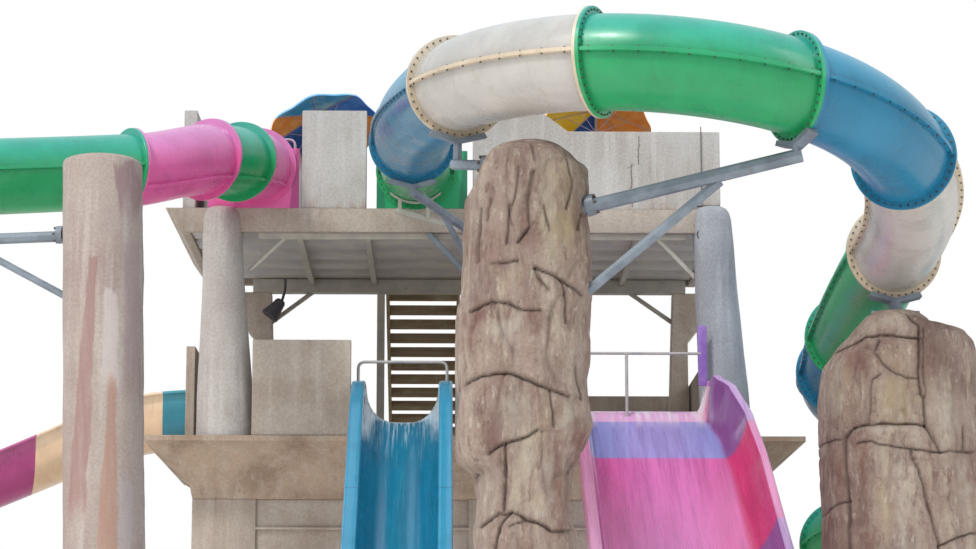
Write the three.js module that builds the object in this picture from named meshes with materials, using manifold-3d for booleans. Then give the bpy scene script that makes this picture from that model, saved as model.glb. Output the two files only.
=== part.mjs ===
// Water slide tower: a two-storey concrete tower with two enclosed tube slides on its upper deck and an
// open flume and two open slides on its lower deck, carried by rock-faced and painted pillars.
// Millimetres, +Z up, +X to the right of the front, -Y towards the front. The origin lies on the ground
// under the middle of the base.
import * as THREE from "three";
import { mergeVertices } from "three/addons/utils/BufferGeometryUtils.js";
import Module from "manifold-3d";

const wasm = await Module();
wasm.setup();

// Clearance between pieces that touch
const gap = 0.3;

// Base and lower deck
const base = { halfX: 4650, halfY: 2460, top: 6000, wall: 250, plankRise: 500, plankDepth: 60 };
const lowerDeck = { halfX: 5390, halfY: 3200, top: 6965, lip: 95, slab: 260, coveSteps: 4 };

// Upper deck
const upperDeck = { left: -5140, right: 4110, front: -2950, rear: 1750, top: 10800, bottom: 10400, batter: 280 };
const soffit = { edge: 130, recess: 150 };

// Round front columns and slim rear columns
const frontColumns = {
  left: { x: -4095, lean: -0.03, top: 10830 },
  right: { x: 3998, lean: 0, top: 10860 },
};
const frontColumn = { y: -2680, footRadius: 490, topRadius: 322, sides: 20 };
const rearColumn = { outer: 3930, foot: 380, head: 265, y: 1450, haunchZ: 9280, haunchTopZ: 9560, haunch: 220 };

// Parapet walls
const parapet = { thickness: 150, lowerRise: 1580, upperRise: 1680, sideRise: 1340, rearRise: 1000 };

// Metal decking and the steel under it
const decking = { ribPitch: 850, ribDepth: 70, sheet: 40, front: -2815, rear: 1450 };
const steelwork = { joistXs: [-2920, -1790, 1150, 2720], joist: 90, depth: 130, beamDepth: 200 };

// Stair between the decks, rising towards the front
const stair = { left: -1590, right: -225, going: 300, rise: 213, steps: 17, board: 40, riser: 150, stringer: 60 };
const landing = { left: -2750, right: -200, rear: 8050, thickness: 140, post: 140 };

// Enclosed tubes: shell radius, wall, flange radius and flange thickness
const tube = { radius: 575, wall: 30, flange: 670, flangeThickness: 35, sides: 12 };

// Open flume at the left, by its stations, and the two open slides at the front
const flume = { radius: 540, wall: 35, rim: 80, side: 490 };
const flumeStations = [
  { x: -4520, y: 1750, z: 7890, heading: 180, fall: 0 },
  { x: -5600, y: 1760, z: 7850, heading: 181, fall: 0.08 },
  { x: -7950, y: 1420, z: 7020, heading: 196, fall: 0.45 },
  { x: -10400, y: 450, z: 5900, heading: 206, fall: 0.36 },
];
const blueSlide = { x: -1190, half: 820, inner: 600, wall: 90, rise: 680, rimDrop: 150 };
const pinkSlide = { left: 1770, leftRim: 1600, bed: 110, rim: 130 };

// Pillars
const centrePillar = { y: -13900, depth: 780, top: 9115 };
const rightPillar = { y: -9900, depth: 950 };
const paintedColumn = { x: -5425, y: -8400, radius: 580, top: 10240, lean: -0.03 };

const colours = {
  concrete: 0xa99c90,
  paleConcrete: 0xb8b3ad,
  rock: 0xa88c7a,
  painted: 0xbfb0a4,
  steel: 0x7c8790,
  decking: 0x55565a,
  green: 0x2fa060,
  blue: 0x1f7fa6,
  white: 0xcfcac4,
  pink: 0xc9559c,
  cream: 0xe6c9a4,
  magenta: 0xb2559a,
  teal: 0x2a86ad,
  board: 0x8e62b4,
  dark: 0x2c2c30,
  tread: 0xb09a78,
  navy: 0x2b4a86,
  orange: 0xf2a033,
};

const tower = new THREE.Group();

function paint(colour, roughness = 0.85, metalness = 0) {
  return new THREE.MeshStandardMaterial({ color: colour, roughness, metalness });
}

function addPiece(name, geometry, material) {
  const mesh = new THREE.Mesh(geometry, material);
  mesh.name = name;
  tower.add(mesh);
}

// Box between two corners
function block([x0, x1], [y0, y1], [z0, z1]) {
  const box = new THREE.BoxGeometry(x1 - x0, y1 - y0, z1 - z0);
  return box.translate((x0 + x1) / 2, (y0 + y1) / 2, (z0 + z1) / 2);
}

function solidFrom(geometry) {
  const loose = geometry.index ? geometry.toNonIndexed() : geometry;
  const bare = new THREE.BufferGeometry().setAttribute("position", loose.getAttribute("position"));
  const merged = mergeVertices(bare, 1e-3);
  const triVerts = new Uint32Array(merged.index.array);
  const vertProperties = merged.attributes.position.array;
  return new wasm.Manifold(new wasm.Mesh({ numProp: 3, vertProperties, triVerts }));
}

function geometryFrom(solid) {
  const { vertProperties, triVerts } = solid.getMesh();
  const geometry = new THREE.BufferGeometry();
  geometry.setAttribute("position", new THREE.BufferAttribute(new Float32Array(vertProperties), 3));
  return geometry.setIndex(new THREE.BufferAttribute(new Uint32Array(triVerts), 1));
}

function join(...parts) {
  return geometryFrom(parts.map(solidFrom).reduce((whole, part) => whole.add(part)));
}

function cut(body, ...tools) {
  return geometryFrom(tools.map(solidFrom).reduce((whole, tool) => whole.subtract(tool), solidFrom(body)));
}

// Closed surface from points and triangles, turned to face out
function closedSurface(points, triangles) {
  let volume = 0;
  for (const [a, b, c] of triangles) {
    volume += points[a].dot(new THREE.Vector3().crossVectors(points[b], points[c]));
  }
  const order = volume < 0 ? triangles.map(([a, b, c]) => [a, c, b]) : triangles;
  const geometry = new THREE.BufferGeometry().setFromPoints(points);
  return geometry.setIndex(order.flat());
}

// Skin between successive rings of points, each ring closed
function bands(rings, first, triangles) {
  const count = rings[0].length;
  for (let ring = 0; ring < rings.length - 1; ring += 1) {
    for (let side = 0; side < count; side += 1) {
      const a = first + ring * count + side;
      const b = first + ring * count + ((side + 1) % count);
      triangles.push([a, b, a + count], [b, b + count, a + count]);
    }
  }
}

// Solid through rings of one outline, with both ends capped
function loft(rings, outline) {
  const triangles = [];
  bands(rings, 0, triangles);
  const last = (rings.length - 1) * outline.length;
  const clockwise = THREE.ShapeUtils.isClockWise(outline);
  for (const [p, q, r] of THREE.ShapeUtils.triangulateShape(outline, [])) {
    const [a, b, c] = clockwise ? [p, r, q] : [p, q, r];
    triangles.push([a, c, b], [last + a, last + b, last + c]);
  }
  return closedSurface(rings.flat(), triangles);
}

// Hollow shell between outer and inner rings that share their two ends
function shell(outer, inner) {
  const count = outer[0].length;
  const triangles = [];
  bands(outer, 0, triangles);
  const innerFirst = outer.length * count;
  const innerSkin = [];
  bands(inner, innerFirst, innerSkin);
  triangles.push(...innerSkin.map(([a, b, c]) => [a, c, b]));
  const ends = [
    [0, innerFirst, false],
    [(outer.length - 1) * count, innerFirst + (inner.length - 1) * count, true],
  ];
  for (const [o, i, far] of ends) {
    for (let side = 0; side < count; side += 1) {
      const next = (side + 1) % count;
      const quad = [
        [o + side, i + side, o + next],
        [o + next, i + side, i + next],
      ];
      triangles.push(...(far ? quad.map(([a, b, c]) => [a, c, b]) : quad));
    }
  }
  return closedSurface([...outer.flat(), ...inner.flat()], triangles);
}

// Straight bar of round or square section between two points
function bar(from, to, radius, sides = 8) {
  const along = new THREE.Vector3().subVectors(to, from);
  const cylinder = new THREE.CylinderGeometry(radius, radius, along.length(), sides);
  const turn = new THREE.Quaternion().setFromUnitVectors(new THREE.Vector3(0, 1, 0), along.normalize());
  const middle = new THREE.Vector3().addVectors(from, to).multiplyScalar(0.5);
  return cylinder.applyQuaternion(turn).translate(middle.x, middle.y, middle.z);
}

const at = (x, y, z) => new THREE.Vector3(x, y, z);

// Place and heading part of the way between two stations. The curve keeps both headings in plan and both
// falls, so neighbouring spans meet face to face.
function between(from, to, share) {
  const start = THREE.MathUtils.degToRad(from.heading);
  const end = THREE.MathUtils.degToRad(to.heading);
  const chord = Math.hypot(to.x - from.x, to.y - from.y);
  const reach = chord / Math.cos((end - start) / 4) ** 2;
  const [s2, s3] = [share ** 2, share ** 3];
  const weights = [2 * s3 - 3 * s2 + 1, s3 - 2 * s2 + share, 3 * s2 - 2 * s3, s3 - s2];
  const blend = (p0, t0, p1, t1) => weights[0] * p0 + weights[1] * t0 + weights[2] * p1 + weights[3] * t1;
  const slope = [6 * s2 - 6 * share, 3 * s2 - 4 * share + 1, 6 * share - 6 * s2, 3 * s2 - 2 * share];
  const lean = (p0, t0, p1, t1) => slope[0] * p0 + slope[1] * t0 + slope[2] * p1 + slope[3] * t1;
  const inX = [from.x, reach * Math.cos(start), to.x, reach * Math.cos(end)];
  const inY = [from.y, reach * Math.sin(start), to.y, reach * Math.sin(end)];
  return {
    place: at(blend(...inX), blend(...inY), blend(from.z, -from.fall * reach, to.z, -to.fall * reach)),
    heading: Math.atan2(lean(...inY), lean(...inX)),
    reach,
  };
}

// Upright ring of points across the way, from an outline of across and up values
function ringAt({ place, heading }, outline) {
  const [across, ahead] = [Math.sin(heading), Math.cos(heading)];
  return outline.map(({ x, y }) => at(place.x + x * across, place.y - x * ahead, place.z + y));
}

function circle(radius, sides = tube.sides) {
  return Array.from({ length: sides }, (_, side) => {
    const angle = (2 * Math.PI * side) / sides;
    return new THREE.Vector2(radius * Math.cos(angle), radius * Math.sin(angle));
  });
}

// Hollow tube over successive stations, with a bolted flange at each of them
function tubeSection(stations, steps) {
  const outer = [];
  const inner = [];
  const last = stations.length - 2;
  for (let span = 0; span <= last; span += 1) {
    const [from, to] = [stations[span], stations[span + 1]];
    const { reach } = between(from, to, 0);
    const ring = (distance, radius) => ringAt(between(from, to, distance / reach), circle(radius));
    const flangeEnd = tube.flangeThickness;
    const flangeStart = reach - tube.flangeThickness;
    const first = span === 0 ? gap / 2 : 0;
    const end = span === last ? reach - gap / 2 : reach;
    if (span === 0) outer.push(ring(first, tube.flange));
    outer.push(ring(flangeEnd, tube.flange));
    for (let step = 0; step <= steps; step += 1) {
      outer.push(ring(flangeEnd + ((flangeStart - flangeEnd) * step) / steps, tube.radius));
      if (span > 0 && step === 0) continue;
      inner.push(ring(first + ((end - first) * step) / steps, tube.radius - tube.wall));
    }
    outer.push(ring(flangeStart, tube.flange));
    if (span === last) outer.push(ring(end, tube.flange));
  }
  return shell(outer, inner);
}

// Each section runs from the last one's end over the next stations
function buildTube(prefix, stations, sections) {
  let next = 0;
  for (const { name, spans = 1, steps, colour } of sections) {
    const section = tubeSection(stations.slice(next, next + spans + 1), steps);
    addPiece(prefix + name, section, paint(colour, 0.35));
    next += spans;
  }
}

// Saddle below the flange at a station, shaped to two of its sides, on a leg down to a height
function saddle({ x, y, z, heading, fall }, footZ, legRadius = 55) {
  const turn = THREE.MathUtils.degToRad(heading);
  const corners = [8, 9, 10];
  const inside = circle(tube.flange + 3 * gap);
  const outside = circle(tube.flange + 70);
  const outline = [...corners.map((k) => inside[k]), ...corners.reverse().map((k) => outside[k])];
  const halfWidth = 70;
  const rings = [-halfWidth, halfWidth].map((shift) => {
    const place = at(x + shift * Math.cos(turn), y + shift * Math.sin(turn), z - fall * shift);
    return ringAt({ place, heading: turn }, outline);
  });
  const top = z - tube.flange - 15;
  return [loft(rings, outline), bar(at(x, y, footZ), at(x, y, top), legRadius)];
}

// Base: a hollow block of four walls, the front one with plank panels between corner piers
function buildBase() {
  const { halfX, halfY, top, wall, plankRise, plankDepth } = base;
  const panels = [];
  for (const [left, right] of [[-3600, -100], [100, 3600]]) {
    for (let z = plankRise; z < top; z += plankRise) {
      panels.push(block([left, right], [-halfY - 1, -halfY + plankDepth], [z - plankRise + 40, z]));
    }
  }
  const front = cut(block([-halfX, halfX], [-halfY, -halfY + wall], [0, top]), ...panels);
  addPiece("base_front_wall", front, paint(colours.concrete));
  const rest = cut(
    block([-halfX, halfX], [-halfY + wall + gap, halfY], [0, top]),
    block([-halfX + wall, halfX - wall], [-halfY, halfY - wall], [-1, top + 1]),
  );
  addPiece("base_side_walls", rest, paint(colours.concrete));
}

// Lower deck: a slab with a thin lip, over a cornice that curves out from the base walls
function buildLowerDeck() {
  const { halfX, halfY, top, lip, slab, coveSteps } = lowerDeck;
  const rectangle = (x, y, z) => [at(-x, -y, z), at(x, -y, z), at(x, y, z), at(-x, y, z)];
  const reachX = halfX - 30 - base.halfX;
  const reachY = halfY - 30 - base.halfY;
  const foot = base.top + gap;
  const rise = top - lip - foot;
  const rings = [];
  for (let step = 0; step <= coveSteps; step += 1) {
    const share = step / coveSteps;
    const out = 1 - Math.cos((share * Math.PI) / 2) ** 0.8;
    rings.push(rectangle(base.halfX + reachX * out, base.halfY + reachY * out, foot + rise * share));
  }
  rings.push(rectangle(halfX, halfY, top - lip), rectangle(halfX, halfY, top));
  const whole = loft(rings, square);
  const inside = base.wall;
  const hollow = block(
    [-base.halfX + inside, base.halfX - inside],
    [-base.halfY + inside, base.halfY - inside],
    [foot - 1, top - slab],
  );
  addPiece("lower_deck", cut(whole, hollow), paint(colours.concrete));
}

// Round front column, tapered and leaning a little
function frontColumnSolid(side, grow = 0) {
  const { y, footRadius, topRadius, sides } = frontColumn;
  const { x, lean, top } = frontColumns[side];
  const foot = lowerDeck.top + gap;
  const shoulder = 90;
  const profile = [
    [0, foot],
    [footRadius + grow, foot],
    [footRadius * 0.95 + grow, foot + 700],
    [topRadius * 1.15 + grow, foot + 2300],
    [topRadius + grow, upperDeck.bottom],
    [topRadius + grow, top - shoulder],
    [topRadius * 0.8 + grow, top - 15],
    [0, top + grow],
  ];
  const column = new THREE.LatheGeometry(profile.map(([r, z]) => new THREE.Vector2(r, z)), sides);
  column.rotateX(Math.PI / 2);
  column.applyMatrix4(new THREE.Matrix4().makeShear(0, 0, 0, 0, lean, 0));
  return column.translate(x - lean * foot, y, 0);
}

const square = [
  [-1, -1],
  [1, -1],
  [1, 1],
  [-1, 1],
].map(([x, y]) => new THREE.Vector2(x, y));

// Slim rear column with an upright outer face and a head that steps out, mirrored for the left side
function rearColumnSolid(side, grow = 0) {
  const { outer, foot, head, y, haunchZ, haunchTopZ, haunch } = rearColumn;
  const sign = side === "right" ? 1 : -1;
  const top = upperDeck.bottom - steelwork.beamDepth - gap;
  const level = (inner, outside, halfY, z) =>
    square.map((corner) => {
      const across = corner.x > 0 ? outside + grow : inner - grow;
      return at(sign * across, y + corner.y * (halfY + grow), z);
    });
  const inside = (z) => outer - foot + ((foot - head) * (z - lowerDeck.top)) / (top - lowerDeck.top);
  const rings = [
    level(inside(lowerDeck.top), outer, foot / 2, lowerDeck.top + gap),
    level(inside(haunchZ), outer, foot / 2 - 30, haunchZ),
    level(inside(haunchTopZ), outer + haunch, foot / 2 - 35, haunchTopZ),
    level(inside(top), outer + haunch, foot / 2 - 40, top),
  ];
  return loft(rings, square);
}

function buildColumns() {
  for (const side of ["left", "right"]) {
    addPiece("column_front_" + side, frontColumnSolid(side), paint(colours.concrete));
    addPiece("column_rear_" + side, rearColumnSolid(side), paint(colours.rock));
  }
}

function buildLowerParapets() {
  const foot = lowerDeck.top + gap;
  const top = foot + parapet.lowerRise;
  const thick = parapet.thickness;
  const front = [-3170, -3170 + thick];
  addPiece("lower_front_parapet", block([-3640, -2030], front, [foot, top]), paint(colours.concrete));
  addPiece("lower_middle_parapet", block([-330, 1560], front, [foot, top]), paint(colours.concrete));
  const rear = lowerDeck.halfY - 100;
  const [left, right] = [-4790, 4120];
  const walls = join(
    block([left, left + thick], [-2500, rear], [foot, top]),
    block([right - thick, right], [-2080, rear], [foot, top]),
    block([left, right], [rear - thick, rear], [foot, top]),
  );
  const sill = 40;
  const gate = block([landing.left + 60, landing.right], [rear - thick - 1, rear + 1], [foot + sill, top + 1]);
  const [start, next] = flumeStations;
  const drop = ((start.z - next.z) * (start.x - left)) / (start.x - next.x);
  const halfGate = flume.radius + flume.rim + 10;
  const flumeGate = block(
    [left - 1, left + thick + 1],
    [start.y - halfGate, start.y + halfGate],
    [start.z - flume.radius - drop - gap, top + 1],
  );
  addPiece("lower_rear_parapet", cut(walls, gate, flumeGate), paint(colours.concrete));
}

// Upper deck: a slab with a battered left end and a hollow soffit, notched for the front columns
function buildUpperDeck() {
  const { left, right, front, rear, top, bottom, batter } = upperDeck;
  const outline = new THREE.Shape([
    new THREE.Vector2(left, top),
    new THREE.Vector2(left + batter, bottom),
    new THREE.Vector2(right, bottom),
    new THREE.Vector2(right, top),
  ]);
  const slab = new THREE.ExtrudeGeometry(outline, { depth: rear - front, bevelEnabled: false });
  slab.rotateX(Math.PI / 2).translate(0, rear, 0);
  const { edge, recess } = soffit;
  const hollow = block(
    [left + batter + edge, right - edge],
    [front + edge, rear - edge],
    [bottom - 1, bottom + recess],
  );
  const notches = ["left", "right"].map((side) => frontColumnSolid(side, 0.5));
  addPiece("upper_deck", cut(slab, hollow, ...notches), paint(colours.concrete));
}

function buildUpperParapets() {
  const foot = upperDeck.top + gap;
  const top = foot + parapet.upperRise;
  const thick = parapet.thickness;
  const front = [upperDeck.front + 30, upperDeck.front + 30 + thick];
  addPiece("upper_left_panel", block([-2888, -1810], front, [foot, top]), paint(colours.paleConcrete));
  const { upperRise, sideRise, rearRise } = parapet;
  const outline = [
    [-40, 0],
    [3620, 0],
    [3620, 75],
    [4090, 75],
    [4090, sideRise],
    [1550, sideRise],
    [1100, upperRise],
    [-40, upperRise],
  ];
  const shape = new THREE.Shape(outline.map(([x, z]) => new THREE.Vector2(x, z)));
  const wall = new THREE.ExtrudeGeometry(shape, { depth: thick, bevelEnabled: false });
  wall.rotateX(Math.PI / 2).translate(0, front[1], foot);
  addPiece("upper_right_parapet", wall, paint(colours.paleConcrete));
  const rear = [upperDeck.rear - 40 - thick, upperDeck.rear - 40];
  const leftPart = join(
    block([-4860, -4640], [-2900, rear[1]], [foot, top]),
    block([-4650, stair.left - 20], rear, [foot, foot + rearRise]),
  );
  const rightPart = join(
    block([3940, 4090], [-2200, rear[1]], [foot, foot + sideRise]),
    block([stair.right + 20, 3950], rear, [foot, foot + rearRise]),
  );
  addPiece("upper_left_parapet", leftPart, paint(colours.paleConcrete));
  addPiece("upper_side_parapet", rightPart, paint(colours.paleConcrete));
}

// Trapezoidal decking with its ribs along X, closed by a flat sheet on top
function buildDecking() {
  const { ribPitch, ribDepth, sheet, front, rear } = decking;
  const top = upperDeck.bottom + soffit.recess - gap;
  const points = [new THREE.Vector2(rear, top), new THREE.Vector2(front, top)];
  for (let y = front; y + ribPitch <= rear + 1; y += ribPitch) {
    points.push(
      new THREE.Vector2(y, top - sheet),
      new THREE.Vector2(y + 110, top - sheet - ribDepth),
      new THREE.Vector2(y + ribPitch - 220, top - sheet - ribDepth),
      new THREE.Vector2(y + ribPitch - 110, top - sheet),
    );
  }
  points.push(new THREE.Vector2(rear, top - sheet));
  const outline = new THREE.Shape(points);
  const left = upperDeck.left + upperDeck.batter + soffit.edge + 5;
  const right = upperDeck.right - soffit.edge - 5;
  const sheetSolid = new THREE.ExtrudeGeometry(outline, { depth: right - left, bevelEnabled: false });
  sheetSolid.applyMatrix4(new THREE.Matrix4().makeBasis(at(0, 1, 0), at(0, 0, 1), at(1, 0, 0)));
  sheetSolid.translate(left, 0, 0);
  const notches = ["left", "right"].map((side) => frontColumnSolid(side, 1));
  addPiece("soffit_decking", cut(sheetSolid, ...notches), paint(colours.decking, 0.6, 0.4));
}

// Steel under the decking: front angle, joists, rear beam, knee braces and the two stair posts
function buildSteelwork() {
  const { joistXs, joist, depth, beamDepth } = steelwork;
  const top = upperDeck.bottom + soffit.recess - decking.sheet - decking.ribDepth - 2 * gap;
  const beamY = [rearColumn.y - 150, rearColumn.y + 60];
  const beam = [upperDeck.bottom - beamDepth, top];
  const parts = [block([-4000, 3900], beamY, beam)];
  parts.push(block([-3600, 3500], [-2810, -2720], [top - depth, top]));
  const lap = 6;
  for (const x of joistXs) {
    const length = [-2810 + lap, beamY[0] + lap];
    parts.push(block([x - joist / 2, x + joist / 2], length, [top - depth + 2 * lap, top - lap]));
  }
  const brace = 42;
  parts.push(
    bar(at(-3120, -2765, 10370), at(-3745, -2690, 9790), brace, 6),
    bar(at(3010, -2765, 10370), at(3700, -2690, 9660), brace, 6),
    bar(at(-2900, rearColumn.y, 10240), at(-3750, rearColumn.y, 9600), brace, 6),
    bar(at(2870, rearColumn.y, 10240), at(3720, rearColumn.y, 9640), brace, 6),
  );
  for (const x of [[-1725, -1600], [-205, -85]]) {
    parts.push(block(x, [beamY[1] - 140, beamY[1] - lap], [lowerDeck.top + gap, beam[0] + lap]));
  }
  const columns = ["left", "right"].flatMap((side) => [frontColumnSolid(side, gap), rearColumnSolid(side, gap)]);
  addPiece("deck_steelwork", cut(join(...parts), ...columns), paint(colours.steel, 0.6, 0.5));
}

// Plate in an upright plane along Y, from its outline of Y and Z, with a thickness along X
function plateAlong(outline, x, thickness) {
  const shape = new THREE.Shape(outline.map(([y, z]) => new THREE.Vector2(y, z)));
  const plate = new THREE.ExtrudeGeometry(shape, { depth: thickness, bevelEnabled: false });
  plate.applyMatrix4(new THREE.Matrix4().makeBasis(at(0, 1, 0), at(0, 0, 1), at(1, 0, 0)));
  return plate.translate(x, 0, 0);
}

// Flight of open steps down to a landing behind the lower deck, which stands on four posts
function buildStair() {
  const { left, right, going, rise, steps, board, riser, stringer } = stair;
  const top = [upperDeck.rear + gap, upperDeck.top];
  const landingZ = lowerDeck.top;
  const footY = top[0] + going * steps;
  const parts = [];
  const side = [
    [top[0], top[1] - 60],
    [top[0], top[1] - rise - 220],
    [footY - 130, landingZ - 20],
    [footY + 90, landingZ - 20],
    [footY + 90, landingZ + 60],
  ];
  for (const x of [left, right - stringer]) parts.push(plateAlong(side, x, stringer));
  const lap = 5;
  for (let step = 0; step < steps; step += 1) {
    const y = top[0] + going * step;
    const z = top[1] - rise * (step + 1);
    const corner = [
      [y, z],
      [y, z - riser],
      [y + board, z - riser],
      [y + board, z - board],
      [y + going - 10, z - board],
      [y + going - 10, z],
    ];
    parts.push(plateAlong(corner, left + stringer - lap, right - left - 2 * (stringer - lap)));
  }
  const slabY = [lowerDeck.halfY + gap, landing.rear];
  const slabZ = [landingZ - landing.thickness, landingZ];
  parts.push(block([landing.left, landing.right], slabY, slabZ));
  const half = landing.post / 2;
  for (const x of [landing.left + 120, landing.right - 120]) {
    for (const y of [slabY[0] + 150, slabY[1] - 150]) {
      parts.push(block([x - half, x + half], [y - half, y + half], [0, slabZ[0] + 5]));
    }
  }
  addPiece("stair_flight", join(...parts), paint(colours.tread, 0.8));
}

function buildLoudspeaker() {
  const box = block([-3770, -3440], [950, 1210], [9660, 10060]);
  const arm = block([-3735, -3675], [1200, 1400], [9810, 9900]);
  addPiece("loudspeaker", cut(join(box, arm), rearColumnSolid("left", gap)), paint(colours.dark, 0.6));
}

// Umbrella canopy: a shallow cone of cloth with an inner face just below the outer one
function canopyGeometry(radius, rise, thickness) {
  const profile = [
    [0, rise - thickness],
    [radius * 0.5, rise * 0.62 - thickness],
    [radius - 12, -thickness],
    [radius, 0],
    [radius * 0.5, rise * 0.62],
    [0, rise],
  ];
  return new THREE.LatheGeometry(profile.map(([r, z]) => new THREE.Vector2(r, z)), 16).rotateX(Math.PI / 2);
}

function buildUmbrellas() {
  const umbrellas = [
    { name: "left", x: -2726, y: 300, rimZ: 12950, radius: 1000, roll: -14, colour: colours.navy },
    { name: "right", x: 2222, y: 300, rimZ: 13060, radius: 1000, roll: 4, colour: colours.orange },
  ];
  const rise = 420;
  const pitch = -20;
  const poleRadius = 24;
  for (const { name, x, y, rimZ, radius, roll, colour } of umbrellas) {
    const canopy = canopyGeometry(radius, rise, 30);
    canopy.rotateX(THREE.MathUtils.degToRad(pitch)).rotateY(THREE.MathUtils.degToRad(roll));
    canopy.translate(x, y, rimZ);
    const poleTop = at(x, y, rimZ + rise + 60);
    const hole = bar(at(x, y, rimZ), poleTop, poleRadius + gap, 8);
    addPiece("umbrella_canopy_" + name, cut(canopy, hole), paint(colour, 0.9));
    const pole = bar(at(x, y, upperDeck.top + 60), poleTop, poleRadius, 8);
    const foot = block([x - 230, x + 230], [y - 230, y + 230], [upperDeck.top + gap, upperDeck.top + 90]);
    addPiece("umbrella_pole_" + name, join(pole, foot), paint(colours.white, 0.4, 0.3));
  }
}

// Start tub: open at the top and back, its front wall pierced for the tube
function tubGeometry([x0, x1], [y0, y1], topZ, centre, heading) {
  const wall = 60;
  const foot = upperDeck.top + gap;
  const body = block([x0, x1], [y0, y1], [foot, topZ]);
  const room = block([x0 + wall, x1 - wall], [y0 + wall, y1 + 1], [foot + wall, topZ + 1]);
  const turn = THREE.MathUtils.degToRad(heading);
  const half = at(Math.cos(turn), Math.sin(turn), 0).multiplyScalar(160);
  const bore = bar(centre.clone().sub(half), centre.clone().add(half), tube.radius - tube.wall, 20);
  return cut(body, room, bore);
}

// Tube A leaves the upper deck at its front left corner and swings out to the left
const tubeA = [
  { x: -3640, y: -2950.2, z: 11500, heading: -90, fall: 0.14 },
  { x: -3868, y: -3800, z: 11372, heading: -108, fall: 0.16 },
  { x: -4281, y: -4680, z: 11191, heading: -120, fall: 0.2 },
  { x: -5564, y: -6100, z: 10648, heading: -146, fall: 0.2 },
  { x: -8650, y: -7540, z: 10140, heading: -155, fall: 0.15 },
  { x: -10900, y: -8480, z: 9800, heading: -160, fall: 0.14 },
];

function buildTubeA() {
  const mouth = at(tubeA[0].x, tubeA[0].y, tubeA[0].z);
  const tub = tubGeometry([-4440, -2930], [-2950, -1500], 11820, mouth, tubeA[0].heading);
  addPiece("tube_a_tub", cut(tub, frontColumnSolid("left", 0.5)), paint(colours.pink, 0.35));
  buildTube("tube_a_", tubeA, [
    { name: "throat", steps: 1, colour: colours.pink },
    { name: "collar", steps: 2, colour: colours.green },
    { name: "bend", steps: 4, colour: colours.pink },
    { name: "run", steps: 3, colour: colours.green },
    { name: "end", steps: 2, colour: colours.pink },
  ]);
}

// Tube B runs forward from the upper deck, turns back in a wide loop and winds down in a spiral
const tubeB = [
  { x: -985, y: -2950.2, z: 11450, heading: -90, fall: 0.13 },
  { x: -993, y: -6600, z: 11004, heading: -89, fall: 0.136 },
  { x: -340, y: -13030, z: 10062, heading: -76, fall: 0.115 },
  { x: 1290, y: -14870, z: 9856, heading: -26, fall: 0.105 },
  { x: 3640, y: -14910, z: 9548, heading: 24, fall: 0.147 },
  { x: 5235, y: -13120, z: 9144, heading: 69, fall: 0.152 },
  { x: 5711, y: -9700, z: 8668, heading: 95, fall: 0.16 },
  { x: 5620, y: -6300, z: 8060, heading: 89, fall: 0.165 },
];
const spiral = { x: 8520, y: -4600, radius: 2800, top: 7800, quarterFall: 680, quarters: 10 };

function buildTubeB() {
  const mouth = at(tubeB[0].x, tubeB[0].y, tubeB[0].z);
  const tub = tubGeometry([-1640, -130], [-2950, -1400], 11790, mouth, tubeB[0].heading);
  addPiece("tube_b_tub", tub, paint(colours.green, 0.35));
  for (let quarter = 0; quarter <= spiral.quarters; quarter += 1) {
    const angle = Math.PI - (quarter * Math.PI) / 2;
    tubeB.push({
      x: spiral.x + spiral.radius * Math.cos(angle),
      y: spiral.y + spiral.radius * Math.sin(angle),
      z: spiral.top - spiral.quarterFall * quarter,
      heading: 90 - 90 * quarter,
      fall: 0.155,
    });
  }
  buildTube("tube_b_", tubeB, [
    { name: "throat", steps: 1, colour: colours.green },
    { name: "run", steps: 3, colour: colours.blue },
    { name: "loop_start", steps: 4, colour: colours.white },
    { name: "loop_top", steps: 4, colour: colours.green },
    { name: "loop_end", steps: 4, colour: colours.blue },
    { name: "return", steps: 2, colour: colours.white },
    { name: "fall", steps: 2, colour: colours.green },
    { name: "spiral_1", spans: 3, steps: 4, colour: colours.blue },
    { name: "spiral_2", spans: 2, steps: 4, colour: colours.green },
    { name: "spiral_3", spans: 2, steps: 4, colour: colours.white },
    { name: "spiral_4", spans: 2, steps: 4, colour: colours.blue },
    { name: "spiral_5", spans: 2, steps: 4, colour: colours.green },
  ]);
}

// Open trough outline: a half round with upright sides and turned-out rims
function troughOutline({ radius, wall, rim, side }) {
  const half = 6;
  const outer = [];
  const inner = [];
  for (let step = 0; step <= half; step += 1) {
    const angle = Math.PI + (Math.PI * step) / half;
    const [across, down] = [Math.cos(angle), Math.sin(angle)];
    outer.push(new THREE.Vector2(radius * across, radius * down));
    inner.unshift(new THREE.Vector2((radius - wall) * across, (radius - wall) * down));
  }
  const lip = (x, y) => new THREE.Vector2(x, y);
  return [
    lip(-radius - rim, side),
    lip(-radius - rim, side - wall),
    lip(-radius, side - wall),
    ...outer,
    lip(radius, side - wall),
    lip(radius + rim, side - wall),
    lip(radius + rim, side),
    lip(radius - wall, side),
    ...inner,
    lip(-radius + wall, side),
  ];
}

function troughSection(from, to, steps, outline) {
  const { reach } = between(from, to, 0);
  const rings = [];
  for (let step = 0; step <= steps; step += 1) {
    const distance = Math.min(Math.max((reach * step) / steps, gap / 2), reach - gap / 2);
    rings.push(ringAt(between(from, to, distance / reach), outline));
  }
  return loft(rings, outline);
}

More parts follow.
